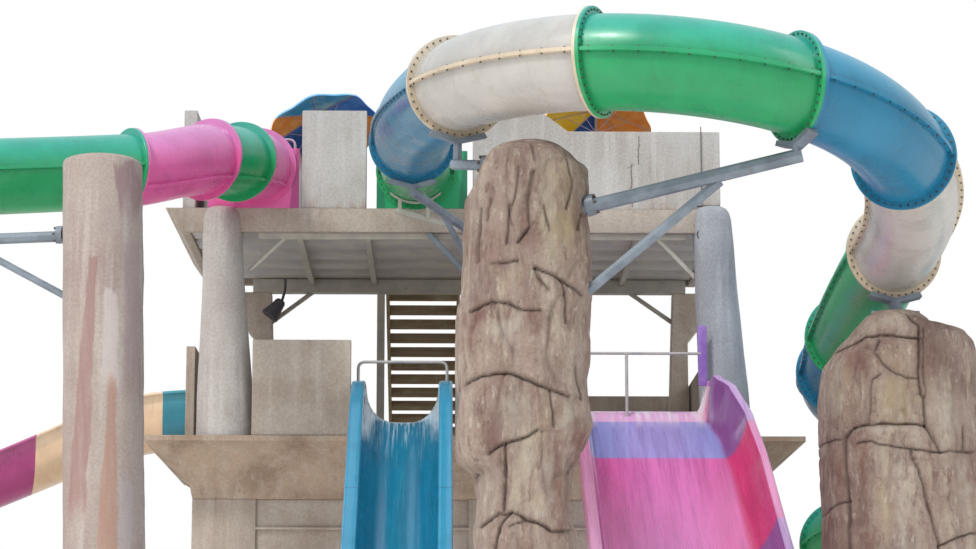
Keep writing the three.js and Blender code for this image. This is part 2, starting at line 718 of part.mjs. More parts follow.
// The open flume leaves the lower deck at the left and falls away to a supported end
function buildFlume() {
  const outline = troughOutline(flume);
  const parts = [["start", colours.teal], ["middle", colours.cream], ["end", colours.magenta]];
  parts.forEach(([name, colour], index) => {
    const [from, to] = [flumeStations[index], flumeStations[index + 1]];
    addPiece("flume_" + name, troughSection(from, to, index === 0 ? 1 : 4, outline), paint(colour, 0.4));
  });
  const end = flumeStations[3];
  const [x, y] = [end.x + 620, end.y + 290];
  const seatZ = end.z - flume.radius;
  const leg = bar(at(x, y, 0), at(x, y, seatZ), 90, 10);
  const seat = block([x - 200, x + 200], [y - 300, y + 300], [seatZ - 60, seatZ + 260]);
  const foot = block([x - 300, x + 300], [y - 300, y + 300], [0, 40]);
  const clearance = troughSection(flumeStations[2], { ...end }, 4, outline.map(({ x: across, y: up }) => {
    const grow = 1 + (2 * gap) / flume.radius;
    return new THREE.Vector2(across * grow, up * grow);
  }));
  const inside = troughSection(flumeStations[2], { ...end }, 4, circle(flume.radius - flume.wall / 2, 12));
  addPiece("flume_support", cut(join(leg, seat, foot), clearance, inside), paint(colours.steel, 0.6, 0.5));
}

// Rings of an open slide falling towards the front: each stands square to the bed at its pitch
function slideRing([y, z, pitch], outline) {
  const angle = THREE.MathUtils.degToRad(pitch);
  return outline.map(([x, up]) => at(x, y - up * Math.sin(angle), z + up * Math.cos(angle)));
}

function buildBlueSlide() {
  const { x, half, inner, wall, rise, rimDrop } = blueSlide;
  const side = [
    [half, rise],
    [half, rise - rimDrop],
    [inner + 70, rise - rimDrop],
    [inner + 20, 290],
    [470, 10],
    [230, -wall],
  ];
  const face = [
    [inner, rise],
    [550, 320],
    [400, 105],
    [200, 0],
  ];
  const mirror = (points) => points.map(([across, up]) => [-across, up]);
  const outline = [...mirror(side), ...side.toReversed(), ...face, ...mirror(face).reverse()];
  const placed = outline.map(([across, up]) => [x + across, up]);
  const bed = [
    [-2650, 7200, 0],
    [-2950, 7200, 0],
    [-3190, 7175, 12],
    [-3500, 7040, 30],
    [-3900, 6760, 42],
    [-10410, 900, 42],
    [-10900, 540, 32],
    [-11500, 270, 17],
    [-12300, 130, 4],
    [-15000, wall + 5, 0],
  ];
  const flat = outline.map(([across, up]) => new THREE.Vector2(across, up));
  const rings = bed.map((station) => slideRing(station, placed));
  const sill = block([x - 520, x + 520], [-3120, -2700], [lowerDeck.top + gap, bed[0][1] - wall + 30]);
  const rough = join(loft(rings, flat), sill);
  addPiece("blue_slide", rough, paint(colours.teal, 0.3));
  const pipe = 26;
  const railY = -2880;
  const [left, right] = [x - 730, x + 730];
  const railZ = 8225;
  const foot = bed[0][1] + rise + gap;
  const arch = join(
    bar(at(left, railY, foot), at(left, railY, railZ), pipe),
    bar(at(right, railY, foot), at(right, railY, railZ), pipe),
    bar(at(left - pipe, railY, railZ), at(right + pipe, railY, railZ), pipe + 1),
  );
  addPiece("blue_slide_handrail", arch, paint(colours.steel, 0.4, 0.6));
}

// The wide slide: a flat bed with a low left wall and a right bank that starts as a tall rounded ear
function buildPinkSlide() {
  const { left, leftRim, bed: depth, rim } = pinkSlide;
  const stations = [
    [-2650, 7200, 0, 3640, 3760, 330],
    [-2900, 7200, 0, 3640, 3790, 700],
    [-3240, 7200, 0, 3700, 3850, 770],
    [-3560, 7060, 20, 3810, 4080, 720],
    [-4200, 6700, 31, 3900, 4250, 520],
    [-5400, 5930, 33, 3960, 4340, 430],
    [-12900, 1060, 33, 3990, 4380, 400],
    [-13600, 640, 27, 3990, 4380, 400],
    [-14400, 320, 14, 3990, 4380, 380],
    [-15300, 160, 3, 3990, 4380, 360],
    [-17000, depth + 5, 0, 3990, 4380, 360],
  ];
  const outlineFor = (right, rimX, rise) => [
    [leftRim, 300],
    [leftRim, -depth],
    [right + 60, -depth],
    [rimX + rim, rise - 150],
    [rimX + rim, rise],
    [rimX, rise],
    [(right + rimX) / 2 + 40, rise * 0.4],
    [right, 0],
    [left + 60, 0],
    [left, 300],
  ];
  const rings = stations.map(([y, z, pitch, right, rimX, rise]) =>
    slideRing([y, z, pitch], outlineFor(right, rimX, rise)),
  );
  const flat = outlineFor(3990, 4380, 400).map(([x, up]) => new THREE.Vector2(x, up));
  const sill = block([left - 100, 3500], [-3120, -2700], [lowerDeck.top + gap, stations[0][1] - depth + 30]);
  const slide = cut(join(loft(rings, flat), sill), frontColumnSolid("right", gap));
  addPiece("pink_slide", slide, paint(colours.pink, 0.35));
  const railZ = 8335;
  const railY = -3150;
  const foot = stations[1][1] + gap;
  const pipe = 24;
  const frame = join(
    bar(at(leftRim + 90, railY, railZ), at(3700, railY, railZ), pipe),
    bar(at(leftRim + 90, railY, foot + 300), at(leftRim + 90, railY, railZ + pipe), pipe + 1),
    bar(at(2480, railY, foot), at(2480, railY, railZ), pipe + 2),
    block([3655, 3800], [railY - 18, railY + 18], [7990, 8800]),
  );
  addPiece("pink_slide_start_bar", frame, paint(colours.board, 0.5));
}

// Rock-faced pillar from levels of height, left and right side
function rockPillar(y, depth, levels, grow = 0) {
  const sides = 12;
  const rings = levels.map(([z, left, right], level) => {
    const middle = (left + right) / 2;
    const half = (right - left) / 2 + grow;
    return Array.from({ length: sides }, (_, side) => {
      const angle = (2 * Math.PI * side) / sides;
      const lump = 1 + 0.09 * Math.sin(3 * angle + level * 1.9) * Math.abs(Math.sin(angle));
      const back = Math.min(half * 1.05, depth + grow);
      return at(middle + half * Math.cos(angle), y + back * Math.sin(angle) * lump, z);
    });
  });
  return loft(rings, circle(1, sides));
}

const centreLevels = [
  [0, -300, 1300],
  [2600, -190, 1130],
  [4180, -130, 1055],
  [5000, -140, 1040],
  [5480, -310, 1180],
  [5960, -355, 1280],
  [6420, -345, 1180],
  [6810, -286, 1263],
  [8100, -204, 1260],
  [8655, -95, 1167],
  [8970, 50, 962],
  [centrePillar.top, 340, 700],
];
const rightLevels = [
  [0, 4740, 6800],
  [2600, 4660, 6640],
  [4540, 4608, 6662],
  [5610, 4570, 6697],
  [6570, 4612, 6729],
  [6980, 4676, 6701],
  [7325, 4876, 6630],
  [7550, 5060, 6300],
  [7740, 5290, 5900],
];

function buildPillars() {
  const centre = (grow) => rockPillar(centrePillar.y, centrePillar.depth, centreLevels, grow);
  const right = (grow) => rockPillar(rightPillar.y, rightPillar.depth, rightLevels, grow);
  addPiece("rock_pillar_centre", centre(0), paint(colours.rock));
  addPiece("rock_pillar_right", right(0), paint(colours.rock));
  const { x, y, radius, top, lean } = paintedColumn;
  const column = (grow) => {
    const profile = [
      [0, 0],
      [radius + grow, 0],
      [radius - 15 + grow, top - 160],
      [radius * 0.8 + grow, top - 40],
      [0, top + grow],
    ];
    const points = profile.map(([r, z]) => new THREE.Vector2(r, z));
    const upright = new THREE.LatheGeometry(points, 20).rotateX(Math.PI / 2);
    upright.applyMatrix4(new THREE.Matrix4().makeShear(0, 0, 0, 0, lean, 0));
    return upright.translate(x - lean * top, y, 0);
  };
  addPiece("painted_column", column(0), paint(colours.painted));

  const steel = paint(colours.steel, 0.55, 0.5);
  const clear = 2 * gap;
  const r1 = tubeB[2];
  const armI = join(
    bar(at(350, -13600, 8900), at(r1.x - 60, r1.y, 9060), 65),
    bar(at(60, -13500, 8935), at(-40, -13480, 8950), 120, 12),
    ...saddle(r1, 9050),
  );
  addPiece("arm_loop_start", cut(armI, centre(clear)), steel.clone());
  const r3 = tubeB[4];
  const reachEnd = at(r3.x + 60, r3.y, 8730);
  const armIII = join(
    bar(at(700, -14180, 8130), reachEnd, 85),
    bar(at(700, -14200, 6800), at(2764, -14620, 8480), 62),
    bar(at(1190, -14270, 8245), at(1290, -14290, 8270), 130, 12),
    ...saddle(r3, 8730),
  );
  addPiece("arm_loop_end", cut(armIII, centre(clear)), steel.clone());
  const r5 = tubeB[6];
  const bracket = join(
    ...saddle(r5, 7300, 90),
    bar(at(r5.x - 330, r5.y, 7780), at(r5.x + 330, r5.y, 7780), 60),
  );
  addPiece("arm_return", cut(bracket, right(clear)), steel.clone());
  const a4 = tubeA[4];
  const armVI = join(
    bar(at(x, y, 9150), at(a4.x - 60, a4.y, 9200), 80),
    bar(at(x, y, 8000), at(-7500, -7900, 9170), 55),
    bar(at(x - radius - 30, y + 15, 9150), at(x - radius + 60, y - 5, 9150), 130, 12),
    ...saddle(a4, 9200),
  );
  addPiece("arm_tube_a", cut(armVI, column(clear)), steel.clone());
}

// Steel that carries the first joint of tube B: a post between the decks with an arm and two struts
function buildTowerArm() {
  const [x, y] = [200, -2895];
  const seat = tubeB[1];
  const armZ = 10215;
  const parts = join(
    bar(at(x, y, lowerDeck.top + gap), at(x, y, upperDeck.bottom - gap), 78, 12),
    bar(at(x, y, armZ), at(seat.x, seat.y - 60, armZ), 70),
    bar(at(x, y, 9330), at(-520, -5050, armZ), 48),
    bar(at(x, y, 9330), at(-760, y, upperDeck.bottom - 25), 48),
    ...saddle(seat, armZ),
  );
  const deckEdge = block([-5000, 5000], [upperDeck.front - 1, 0], [upperDeck.bottom - gap, upperDeck.top]);
  addPiece("arm_tower", cut(parts, deckEdge), paint(colours.steel, 0.55, 0.5));
}

// Mast inside the spiral with an arm under each half turn, and the trough that catches the way out
function buildSpiralSupport() {
  const parts = [bar(at(spiral.x, spiral.y, 0), at(spiral.x, spiral.y, spiral.top - 400), 170, 14)];
  parts.push(block([spiral.x - 500, spiral.x + 500], [spiral.y - 500, spiral.y + 500], [0, 60]));
  const first = tubeB.length - 1 - spiral.quarters;
  for (let quarter = 1; quarter < spiral.quarters; quarter += 2) {
    const seat = tubeB[first + quarter];
    const armZ = seat.z - tube.flange - 160;
    parts.push(bar(at(spiral.x, spiral.y, armZ), at(seat.x, seat.y, armZ), 60, 6), ...saddle(seat, armZ, 50));
  }
  addPiece("spiral_mast", join(...parts), paint(colours.steel, 0.55, 0.5));
  const out = tubeB[tubeB.length - 1];
  const outline = troughOutline({ radius: tube.radius, wall: 40, rim: 90, side: 120 });
  const from = { ...out, y: out.y - gap / 2 };
  const to = { x: out.x, y: out.y - 2600, z: tube.radius + 12, heading: -90, fall: 0.02 };
  const trough = troughSection(from, to, 3, outline);
  const footing = block([out.x - 330, out.x + 330], [to.y + 20, from.y - 60], [0, 420]);
  const basin = troughSection({ ...from, y: from.y + 400 }, { ...to, y: to.y - 400 }, 3, circle(tube.radius - 20, 16));
  addPiece("spiral_exit", join(trough, cut(footing, basin)), paint(colours.blue, 0.35));
}

buildBase();
buildLowerDeck();
buildColumns();
buildLowerParapets();
buildUpperDeck();
buildUpperParapets();
buildDecking();
buildSteelwork();
buildStair();
buildLoudspeaker();
buildUmbrellas();
buildTubeA();
buildTubeB();
buildFlume();
buildBlueSlide();
buildPinkSlide();
buildPillars();
buildTowerArm();
buildSpiralSupport();

export default tower;
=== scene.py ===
import math

import bmesh
import bpy
import numpy as np
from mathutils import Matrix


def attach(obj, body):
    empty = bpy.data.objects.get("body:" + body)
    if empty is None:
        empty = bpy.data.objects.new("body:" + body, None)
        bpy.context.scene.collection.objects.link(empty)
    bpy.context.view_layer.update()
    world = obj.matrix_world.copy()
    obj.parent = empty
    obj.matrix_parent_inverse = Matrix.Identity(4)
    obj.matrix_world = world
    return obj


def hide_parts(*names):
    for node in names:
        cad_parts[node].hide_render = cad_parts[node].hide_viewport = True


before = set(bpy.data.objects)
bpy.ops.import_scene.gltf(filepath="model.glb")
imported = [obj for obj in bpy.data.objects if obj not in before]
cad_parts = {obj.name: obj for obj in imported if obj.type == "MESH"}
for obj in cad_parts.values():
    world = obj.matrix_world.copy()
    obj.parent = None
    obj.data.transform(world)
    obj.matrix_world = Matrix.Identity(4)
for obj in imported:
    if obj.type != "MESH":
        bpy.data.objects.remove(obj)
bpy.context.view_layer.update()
print("frame loaded")


# Adds an object for some data to the scene
def placeObject(name, data):
    placed = bpy.data.objects.new(name, data)
    bpy.context.collection.objects.link(placed)
    return placed


# View
photoView = {
    "place": (-0.475, -43.2, 1.6),
    "pitch": 9.556,
    "yaw": 0.98,
    "lens": 91.475,
    "shiftY": 78 / 976,
}


def makeView(view):
    data = bpy.data.cameras.new("viewCamera")
    data.lens = view["lens"]
    data.sensor_width = 36
    data.shift_y = view["shiftY"]
    data.clip_end = 400
    camera = placeObject("viewCamera", data)
    camera.location = view["place"]
    camera.rotation_euler = (math.radians(90 + view["pitch"]), 0, -math.radians(view["yaw"]))
    bpy.context.scene.camera = camera


makeView(photoView)
bpy.context.scene.view_settings.view_transform = "Standard"

# Light and floor
studio = {
    "skyTop": (0.86, 0.93, 1.0, 1),
    "skyLow": (0.66, 0.67, 0.68, 1),
    "sunPower": 1.7,
    "sunTurn": (38, -10, -28),
    "sunSpread": 9,
    "floorColour": (0.74, 0.72, 0.69, 1),
    "floorHalf": 60,
    "skyRise": (0.05, 0.75),
    "sunColour": (1.0, 0.965, 0.92),
    "panels": [((-22, -34, 26), (46, 0, -34), (9, 26), 2600), ((24, -30, 24), (48, 0, 38), (6, 24), 1500)],
    "bounce": ((0, -15, 0.2), (180, 0, 0), (34, 20), 1900),
    "bounceColour": (1.0, 0.97, 0.93),
}


# Sky: tinted from low to high where light or a reflection meets it, plain white where the camera does
def makeSky(values):
    world = bpy.data.worlds.new("studioSky")
    world.use_nodes = True
    tree = world.node_tree
    tree.nodes.clear()
    way = addNode(tree, "TexCoord").outputs["Generated"]
    height = axesOf(tree, way)[2]
    low, high = values["skyRise"]
    rise = addNode(tree, "MapRange", None, Value=height, **{"From Min": low, "From Max": high}).outputs["Result"]
    tint = mixColour(tree, rise, values["skyLow"], values["skyTop"])
    seen = addNode(tree, "LightPath").outputs["Is Camera Ray"]
    back = addNode(tree, "Background", None, Color=mixColour(tree, seen, tint, (1, 1, 1, 1)))
    addNode(tree, "OutputWorld", None, Surface=back.outputs[0])
    bpy.context.scene.world = world


def makePanel(name, place, turn, size, power):
    light = bpy.data.lights.new(name, "AREA")
    light.shape = "RECTANGLE"
    light.size, light.size_y = size
    light.energy = power
    panel = placeObject(name, light)
    panel.location = place
    panel.rotation_euler = [math.radians(a) for a in turn]
    return panel


def makeLamps(values):
    sun = bpy.data.lights.new("softSun", "SUN")
    sun.energy = values["sunPower"]
    sun.angle = math.radians(values["sunSpread"])
    sun.color = values["sunColour"]
    placeObject("softSun", sun).rotation_euler = [math.radians(a) for a in values["sunTurn"]]
    for index, panel in enumerate(values["panels"]):
        makePanel(f"softPanel{index}", *panel)
    ground = makePanel("groundBounce", *values["bounce"])
    ground.data.color = values["bounceColour"]
    ground.visible_camera = False
    ground.visible_glossy = False


# Name of a piece from its node: the words joined, each but the first with a capital
def camelCase(node):
    first, *rest = node.split("_")
    return first + "".join(word.title() for word in rest)


# Joins a grid of points with quads. rowsClosed and columnsClosed wrap the last row or column on to the first,
# and capped closes both ends of a tube of rows with one face each
def gridFaces(rows, columns, rowsClosed=False, columnsClosed=False, capped=False):
    i = np.arange(rows if rowsClosed else rows - 1)[:, None]
    j = np.arange(columns if columnsClosed else columns - 1)[None, :]
    up, over = (i + 1) % rows, (j + 1) % columns
    quads = np.stack([i * columns + j, i * columns + over, up * columns + over, up * columns + j], axis=-1)
    faces = quads.reshape(-1, 4).tolist()
    if capped:
        faces.append(list(range(columns - 1, -1, -1)))
        faces.append(list(range((rows - 1) * columns, rows * columns)))
    return faces


# Makes an object from points and faces. slots lists a material number for each face, and values holds named values
# for each point
def addPiece(name, points, faces, materials, slots=None, values=None, sharp=38, flip=None):
    mesh = bpy.data.meshes.new(name)
    mesh.from_pydata(np.asarray(points, float).reshape(-1, 3).tolist(), [], faces)
    for material in materials if isinstance(materials, (list, tuple)) else [materials]:
        mesh.materials.append(material)
    if slots is not None:
        mesh.polygons.foreach_set("material_index", np.asarray(slots, np.int32))
    for key, array in (values or {}).items():
        layer = mesh.attributes.new(key, "FLOAT", "POINT")
        layer.data.foreach_set("value", np.asarray(array, np.float32).ravel())
    mesh.validate()
    if flip is None:
        turnOutwards(mesh)
    elif flip:
        mesh.flip_normals()
    mesh.shade_smooth()
    mesh.set_sharp_from_angle(angle=math.radians(sharp))
    piece = placeObject(name, mesh)
    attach(piece, "root")
    return piece


def turnOutwards(mesh):
    work = bmesh.new()
    work.from_mesh(mesh)
    bmesh.ops.recalc_face_normals(work, faces=work.faces)
    work.to_mesh(mesh)
    work.free()


# Puts several parts together as one, each being its points, its faces and a material number
def merged(parts):
    points, faces, slots, start = [], [], [], 0
    for pts, fcs, slot in parts:
        pts = np.asarray(pts, float).reshape(-1, 3)
        points.append(pts)
        faces.extend([[k + start for k in f] for f in fcs])
        slots.extend([slot] * len(fcs) if np.isscalar(slot) else list(slot))
        start += len(pts)
    return np.concatenate(points), faces, slots


# Adds one object made of several parts, each of points and faces, with its material's number where there are more
def addParts(name, parts, materials, sharp=40, node=None):
    points, faces, slots = merged([(*part, 0)[:3] for part in parts])
    piece = addPiece(name, points, faces, materials, slots, None, sharp)
    if node:
        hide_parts(node)


# Random value at each corner of a cubic lattice, from the fraction of a large sine, blended smoothly between
# the corners of each cell
def latticeNoise(points, seed=0.0):
    base = np.floor(points)
    part = points - base
    part = part * part * (3 - 2 * part)
    total = 0
    for dx in (0, 1):
        for dy in (0, 1):
            for dz in (0, 1):
                corner = base + (dx, dy, dz)
                wave = np.sin(corner @ np.array([127.1, 311.7, 74.7]) + seed * 17.3) * 43758.5453
                value = wave - np.floor(wave)
                weight = np.abs(1 - dx - part[..., 0]) * np.abs(1 - dy - part[..., 1]) * np.abs(1 - dz - part[..., 2])
                total = total + value * weight
    return total * 2 - 1


# Sum of lattice noises, each twice as fine and half as strong as the one before
def layeredNoise(points, octaves=4, seed=0.0):
    total, strength = 0, 1.0
    for k in range(octaves):
        total = total + strength * latticeNoise(points * 2.0**k, seed + k * 3.1)
        strength *= 0.5
    return total


# Round pipe: a circle carried along a line of points, each circle square to the direction of the line there. The
# sides are set out from the axis that the line follows least
def pipe(points, radius, sides=14):
    line = np.asarray(points, float)
    ahead = np.gradient(line, axis=0)
    ahead /= np.linalg.norm(ahead, axis=1)[:, None]
    guide = np.broadcast_to(np.eye(3)[np.argmin(np.abs(ahead).max(axis=0))], ahead.shape)
    side = np.cross(ahead, guide)
    side /= np.linalg.norm(side, axis=1)[:, None]
    up = np.cross(side, ahead)
    angle = np.linspace(0, 2 * np.pi, sides, endpoint=False)
    ring = side[:, None] * np.cos(angle)[None, :, None] + up[:, None] * np.sin(angle)[None, :, None]
    pts = line[:, None] + np.reshape(radius, (-1, 1, 1)) * ring
    return pts, gridFaces(len(line), sides, columnsClosed=True, capped=True)


# Straight box beam between two points: a rectangle with clipped corners, drawn in a little at both ends
def beam(start, end, width, height, clip=0.012):
    start, end = np.asarray(start, float), np.asarray(end, float)
    ahead = (end - start) / np.linalg.norm(end - start)
    side = np.cross(ahead, (0, 0, 1.0) if abs(ahead[2]) < 0.9 else (0, 1.0, 0))
    side /= np.linalg.norm(side)
    up = np.cross(side, ahead)
    a, b = width / 2, height / 2
    corners = np.array([(a, b - clip), (a - clip, b), (clip - a, b), (-a, b - clip), (-a, clip - b), (clip - a, -b),
                        (a - clip, -b), (a, clip - b)])
    rows = []
    for place, scale in ((start, 0.9), (start + ahead * clip * 0.6, 1), (end - ahead * clip * 0.6, 1), (end, 0.9)):
        rows.append(place + scale * (corners[:, :1] * side + corners[:, 1:] * up))
    return np.stack(rows), gridFaces(4, 8, columnsClosed=True, capped=True)


# Line through corner points with each corner rounded by a quarter arc of the given radius
def roundedLine(corners, radius, steps=7):
    corners = [np.array(c, float) for c in corners]
    line = [corners[0]]
    for before, here, after in zip(corners, corners[1:], corners[2:]):
        a = (before - here) / np.linalg.norm(before - here)
        b = (after - here) / np.linalg.norm(after - here)
        share = np.linspace(0, 1, steps)[:, None]
        start, end = here + a * radius, here + b * radius
        line.extend((1 - share) ** 2 * start + 2 * share * (1 - share) * here + share**2 * end)
    line.append(corners[-1])
    return np.array(line)


# Hexagonal bolt heads: a six-sided prism at each place, standing along its own direction
def boltHeads(places, directions, radius=0.017, height=0.018):
    places, directions = np.asarray(places, float), np.asarray(directions, float)
    directions = directions / np.linalg.norm(directions, axis=1)[:, None]
    guide = np.where(np.abs(directions[:, 2:3]) > 0.8, [[1.0, 0.0, 0.0]], [[0.0, 0.0, 1.0]])
    side = np.cross(directions, guide)
    side /= np.linalg.norm(side, axis=1)[:, None]
    up = np.cross(side, directions)
    angle = np.arange(6) * np.pi / 3
    ring = radius * (side[:, None] * np.cos(angle)[None, :, None] + up[:, None] * np.sin(angle)[None, :, None])
    low = places[:, None] + ring - directions[:, None] * 0.004
    high = places[:, None] + ring * 0.94 + directions[:, None] * height
    pts = np.concatenate([low, high], axis=1).reshape(-1, 3)
    k = np.arange(6)
    sides = np.stack([k, (k + 1) % 6, (k + 1) % 6 + 6, k + 6], axis=-1)
    start = np.arange(len(places)) * 12
    faces = (start[:, None, None] + sides[None]).reshape(-1, 4).tolist()
    faces += (start[:, None] + np.array([5, 4, 3, 2, 1, 0])).tolist()
    faces += (start[:, None] + np.array([6, 7, 8, 9, 10, 11])).tolist()
    return pts, faces


# Box with rounded edges: a unit ball pushed out to the box's corners, so each edge keeps a small radius
def softBox(low, high, radius=0.02, steps=3):
    low, high = np.asarray(low, float), np.asarray(high, float)
    rows = np.concatenate([np.linspace(-90, 0, steps + 1), np.linspace(0, 90, steps + 1)])
    turns = np.concatenate([np.linspace(q, q + 90, steps + 1) for q in (0, 90, 180, 270)])
    pitch, yaw = np.meshgrid(np.radians(rows), np.radians(turns), indexing="ij")
    ball = np.stack([np.cos(pitch) * np.cos(yaw), np.cos(pitch) * np.sin(yaw), np.sin(pitch)], axis=-1)
    quadrant = np.repeat([0, 1, 2, 3], steps + 1)
    signX = np.array([1, -1, -1, 1])[quadrant][None, :]
    signY = np.array([1, 1, -1, -1])[quadrant][None, :]
    signZ = np.repeat([-1, 1], steps + 1)[:, None]
    signs = np.stack(np.broadcast_arrays(signX, signY, signZ), axis=-1)
    pts = (low + high) / 2 + signs * ((high - low) / 2 - radius) + ball * radius
    return pts, gridFaces(len(rows), len(turns), columnsClosed=True, capped=True)


# Materials
def newGroup(name, inputs, outputs):
    group = bpy.data.node_groups.new(name, "ShaderNodeTree")
    for label, kind, value in inputs:
        socket = group.interface.new_socket(name=label, in_out="INPUT", socket_type="NodeSocket" + kind)
        if value is not None:
            socket.default_value = value
    for label, kind in outputs:
        group.interface.new_socket(name=label, in_out="OUTPUT", socket_type="NodeSocket" + kind)
    return group, group.nodes.new("NodeGroupInput"), group.nodes.new("NodeGroupOutput")


def addNode(tree, kind, settings=None, **inputs):
    node = tree.nodes.new("ShaderNode" + kind)
    for key, value in (settings or {}).items():
        setattr(node, key, value)
    for key, value in inputs.items():
        socket = node.inputs[int(key[1:])] if key[0] == "i" and key[1:].isdigit() else node.inputs[key]
        if isinstance(value, bpy.types.NodeSocket):
            tree.links.new(value, socket)
        else:
            socket.default_value = value
    return node


def mathNode(tree, operation, a, b=None, clamp=False):
    extra = {} if b is None else {"i1": b}
    return addNode(tree, "Math", {"operation": operation, "use_clamp": clamp}, i0=a, **extra).outputs[0]


def times(tree, a, b):
    return mathNode(tree, "MULTIPLY", a, b)


# Value that the mesh keeps for each of its points
def meshValue(tree, name):
    return addNode(tree, "Attribute", {"attribute_name": name}).outputs["Fac"]


def mixColour(tree, share, a, b, blend="MIX"):
    settings = {"data_type": "RGBA", "blend_type": blend, "clamp_result": True}
    return addNode(tree, "Mix", settings, i0=share, i6=a, i7=b).outputs[2]


# Darkens a colour by a grey of the given value
def shaded(tree, colour, value):
    grey = addNode(tree, "CombineColor", None, i0=value, i1=value, i2=value).outputs[0]
    return mixColour(tree, 1.0, colour, grey, "MULTIPLY")


# The x, y and z values of a place
def axesOf(tree, spot):
    return addNode(tree, "SeparateXYZ", None, i0=spot).outputs


def rangeNode(tree, value, low, high, toLow=0.0, toHigh=1.0):
    spans = {"From Min": low, "From Max": high, "To Min": toLow, "To Max": toHigh}
    return addNode(tree, "MapRange", {"interpolation_type": "SMOOTHSTEP"}, Value=value, **spans).outputs["Result"]


def noiseNode(tree, vector, scale, detail=4.0, rough=0.55, stretch=None):
    if stretch is not None:
        vector = addNode(tree, "Mapping", None, Vector=vector, Scale=stretch).outputs[0]
    node = addNode(tree, "TexNoise", None, Vector=vector, Scale=scale, Detail=detail, Roughness=rough)
    return node.outputs["Fac"]


# Weathered render or concrete: broad patches, upright streaks from rain, dark drips and fine grit
def weatherGroup():
    group, start, end = newGroup(
        "weathering",
        [
            ("Position", "Vector", None),
            ("Base", "Color", (0.4, 0.33, 0.28, 1)),
            ("Stain", "Color", (0.2, 0.13, 0.1, 1)),
            ("Bleach", "Color", (0.55, 0.5, 0.45, 1)),
            ("Patch Scale", "Float", 0.8),
            ("Patches", "Float", 0.5),
            ("Streaks", "Float", 0.5),
            ("Drips", "Float", 0.4),
        ],
        [("Color", "Color"), ("Height", "Float")],
    )
    spot = start.outputs["Position"]
    broad = noiseNode(group, spot, start.outputs["Patch Scale"], 6, 0.6)
    patches = times(group, rangeNode(group, broad, 0.42, 0.66), start.outputs["Patches"])
    fine = noiseNode(group, spot, 26.0, 5, 0.65)
    rain = noiseNode(group, spot, 1.0, 5, 0.6, (5.5, 5.5, 0.32))
    streaks = times(group, rangeNode(group, rain, 0.46, 0.68), start.outputs["Streaks"])
    thin = noiseNode(group, spot, 1.0, 4, 0.7, (17.0, 17.0, 0.5))
    drips = times(group, rangeNode(group, thin, 0.56, 0.72), start.outputs["Drips"])
    drips = times(group, drips, rangeNode(group, broad, 0.40, 0.60))
    colour = mixColour(group, patches, start.outputs["Base"], start.outputs["Stain"])
    colour = mixColour(group, streaks, colour, start.outputs["Bleach"])
    colour = mixColour(group, drips, colour, start.outputs["Stain"])
    speck = rangeNode(group, fine, 0.3, 0.7, 0.88, 1.1)
    colour = shaded(group, colour, speck)
    height = mathNode(group, "ADD", times(group, fine, 0.45), times(group, broad, 1.2))
    group.links.new(colour, end.inputs["Color"])
    group.links.new(height, end.inputs["Height"])
    return group


# Moulded shell: a paler tint where light falls through from above, faint runs of dirt and a soft ripple
def shellGroup():
    group, start, end = newGroup(
        "mouldedShell",
        [
            ("Position", "Vector", None),
            ("Top Light", "Float", 0.0),
            ("Base", "Color", (0.03, 0.35, 0.13, 1)),
            ("Lit", "Color", (0.1, 0.5, 0.3, 1)),
            ("Grime", "Color", (0.2, 0.16, 0.12, 1)),
            ("Grime Amount", "Float", 0.25),
        ],
        [("Color", "Color"), ("Roughness", "Float"), ("Height", "Float")],
    )
    spot = start.outputs["Position"]
    lift = rangeNode(group, start.outputs["Top Light"], -0.25, 0.85)
    cloud = noiseNode(group, spot, 1.3, 5, 0.6)
    colour = mixColour(group, lift, start.outputs["Base"], start.outputs["Lit"])
    wash = rangeNode(group, cloud, 0.3, 0.75, 0.86, 1.1)
    colour = shaded(group, colour, wash)
    runs = noiseNode(group, spot, 1.0, 5, 0.65, (9.0, 9.0, 0.9))
    specks = noiseNode(group, spot, 34.0, 3, 0.7)
    grime = times(group, rangeNode(group, runs, 0.52, 0.76), start.outputs["Grime Amount"])
    dots = times(group, rangeNode(group, specks, 0.64, 0.74), start.outputs["Grime Amount"])
    grime = mathNode(group, "ADD", grime, dots, True)
    colour = mixColour(group, grime, colour, start.outputs["Grime"])
    group.links.new(colour, end.inputs["Color"])
    rough = mathNode(group, "ADD", rangeNode(group, cloud, 0.35, 0.7, 0.24, 0.38), times(group, grime, 0.5))
    group.links.new(rough, end.inputs["Roughness"])
    ripple = noiseNode(group, spot, 2.4, 2, 0.4)
    group.links.new(mathNode(group, "ADD", ripple, times(group, specks, 0.02)), end.inputs["Height"])
    return group


weathering = weatherGroup()
mouldedShell = shellGroup()
makeSky(studio)
makeLamps(studio)
print("light set")


def placedGroup(tree, group, **values):
    return addNode(tree, "Group", {"node_tree": group}, **{key.replace("_", " "): v for key, v in values.items()})


def weathered(tree, spot, base, stain, bleach, scale, patches, streaks, drips):
    return placedGroup(tree, weathering, Position=spot, Base=rgb(base), Stain=rgb(stain), Bleach=rgb(bleach),
                       Patch_Scale=scale, Patches=patches, Streaks=streaks, Drips=drips)


def newMaterial(name, roughness=0.8, metallic=0.0, coat=0.0, specular=0.5):
    material = bpy.data.materials.new(name)
    material.use_nodes = True
    tree = material.node_tree
    tree.nodes.clear()
    shader = tree.nodes.new("ShaderNodeBsdfPrincipled")
    out = tree.nodes.new("ShaderNodeOutputMaterial")
    tree.links.new(shader.outputs[0], out.inputs["Surface"])
    shader.inputs["Roughness"].default_value = roughness
    shader.inputs["Metallic"].default_value = metallic
    shader.inputs["Coat Weight"].default_value = coat
    shader.inputs["Coat Roughness"].default_value = 0.16
    shader.inputs["Specular IOR Level"].default_value = specular
    spot = tree.nodes.new("ShaderNodeTexCoord").outputs["Object"]
    return material, tree, shader, spot


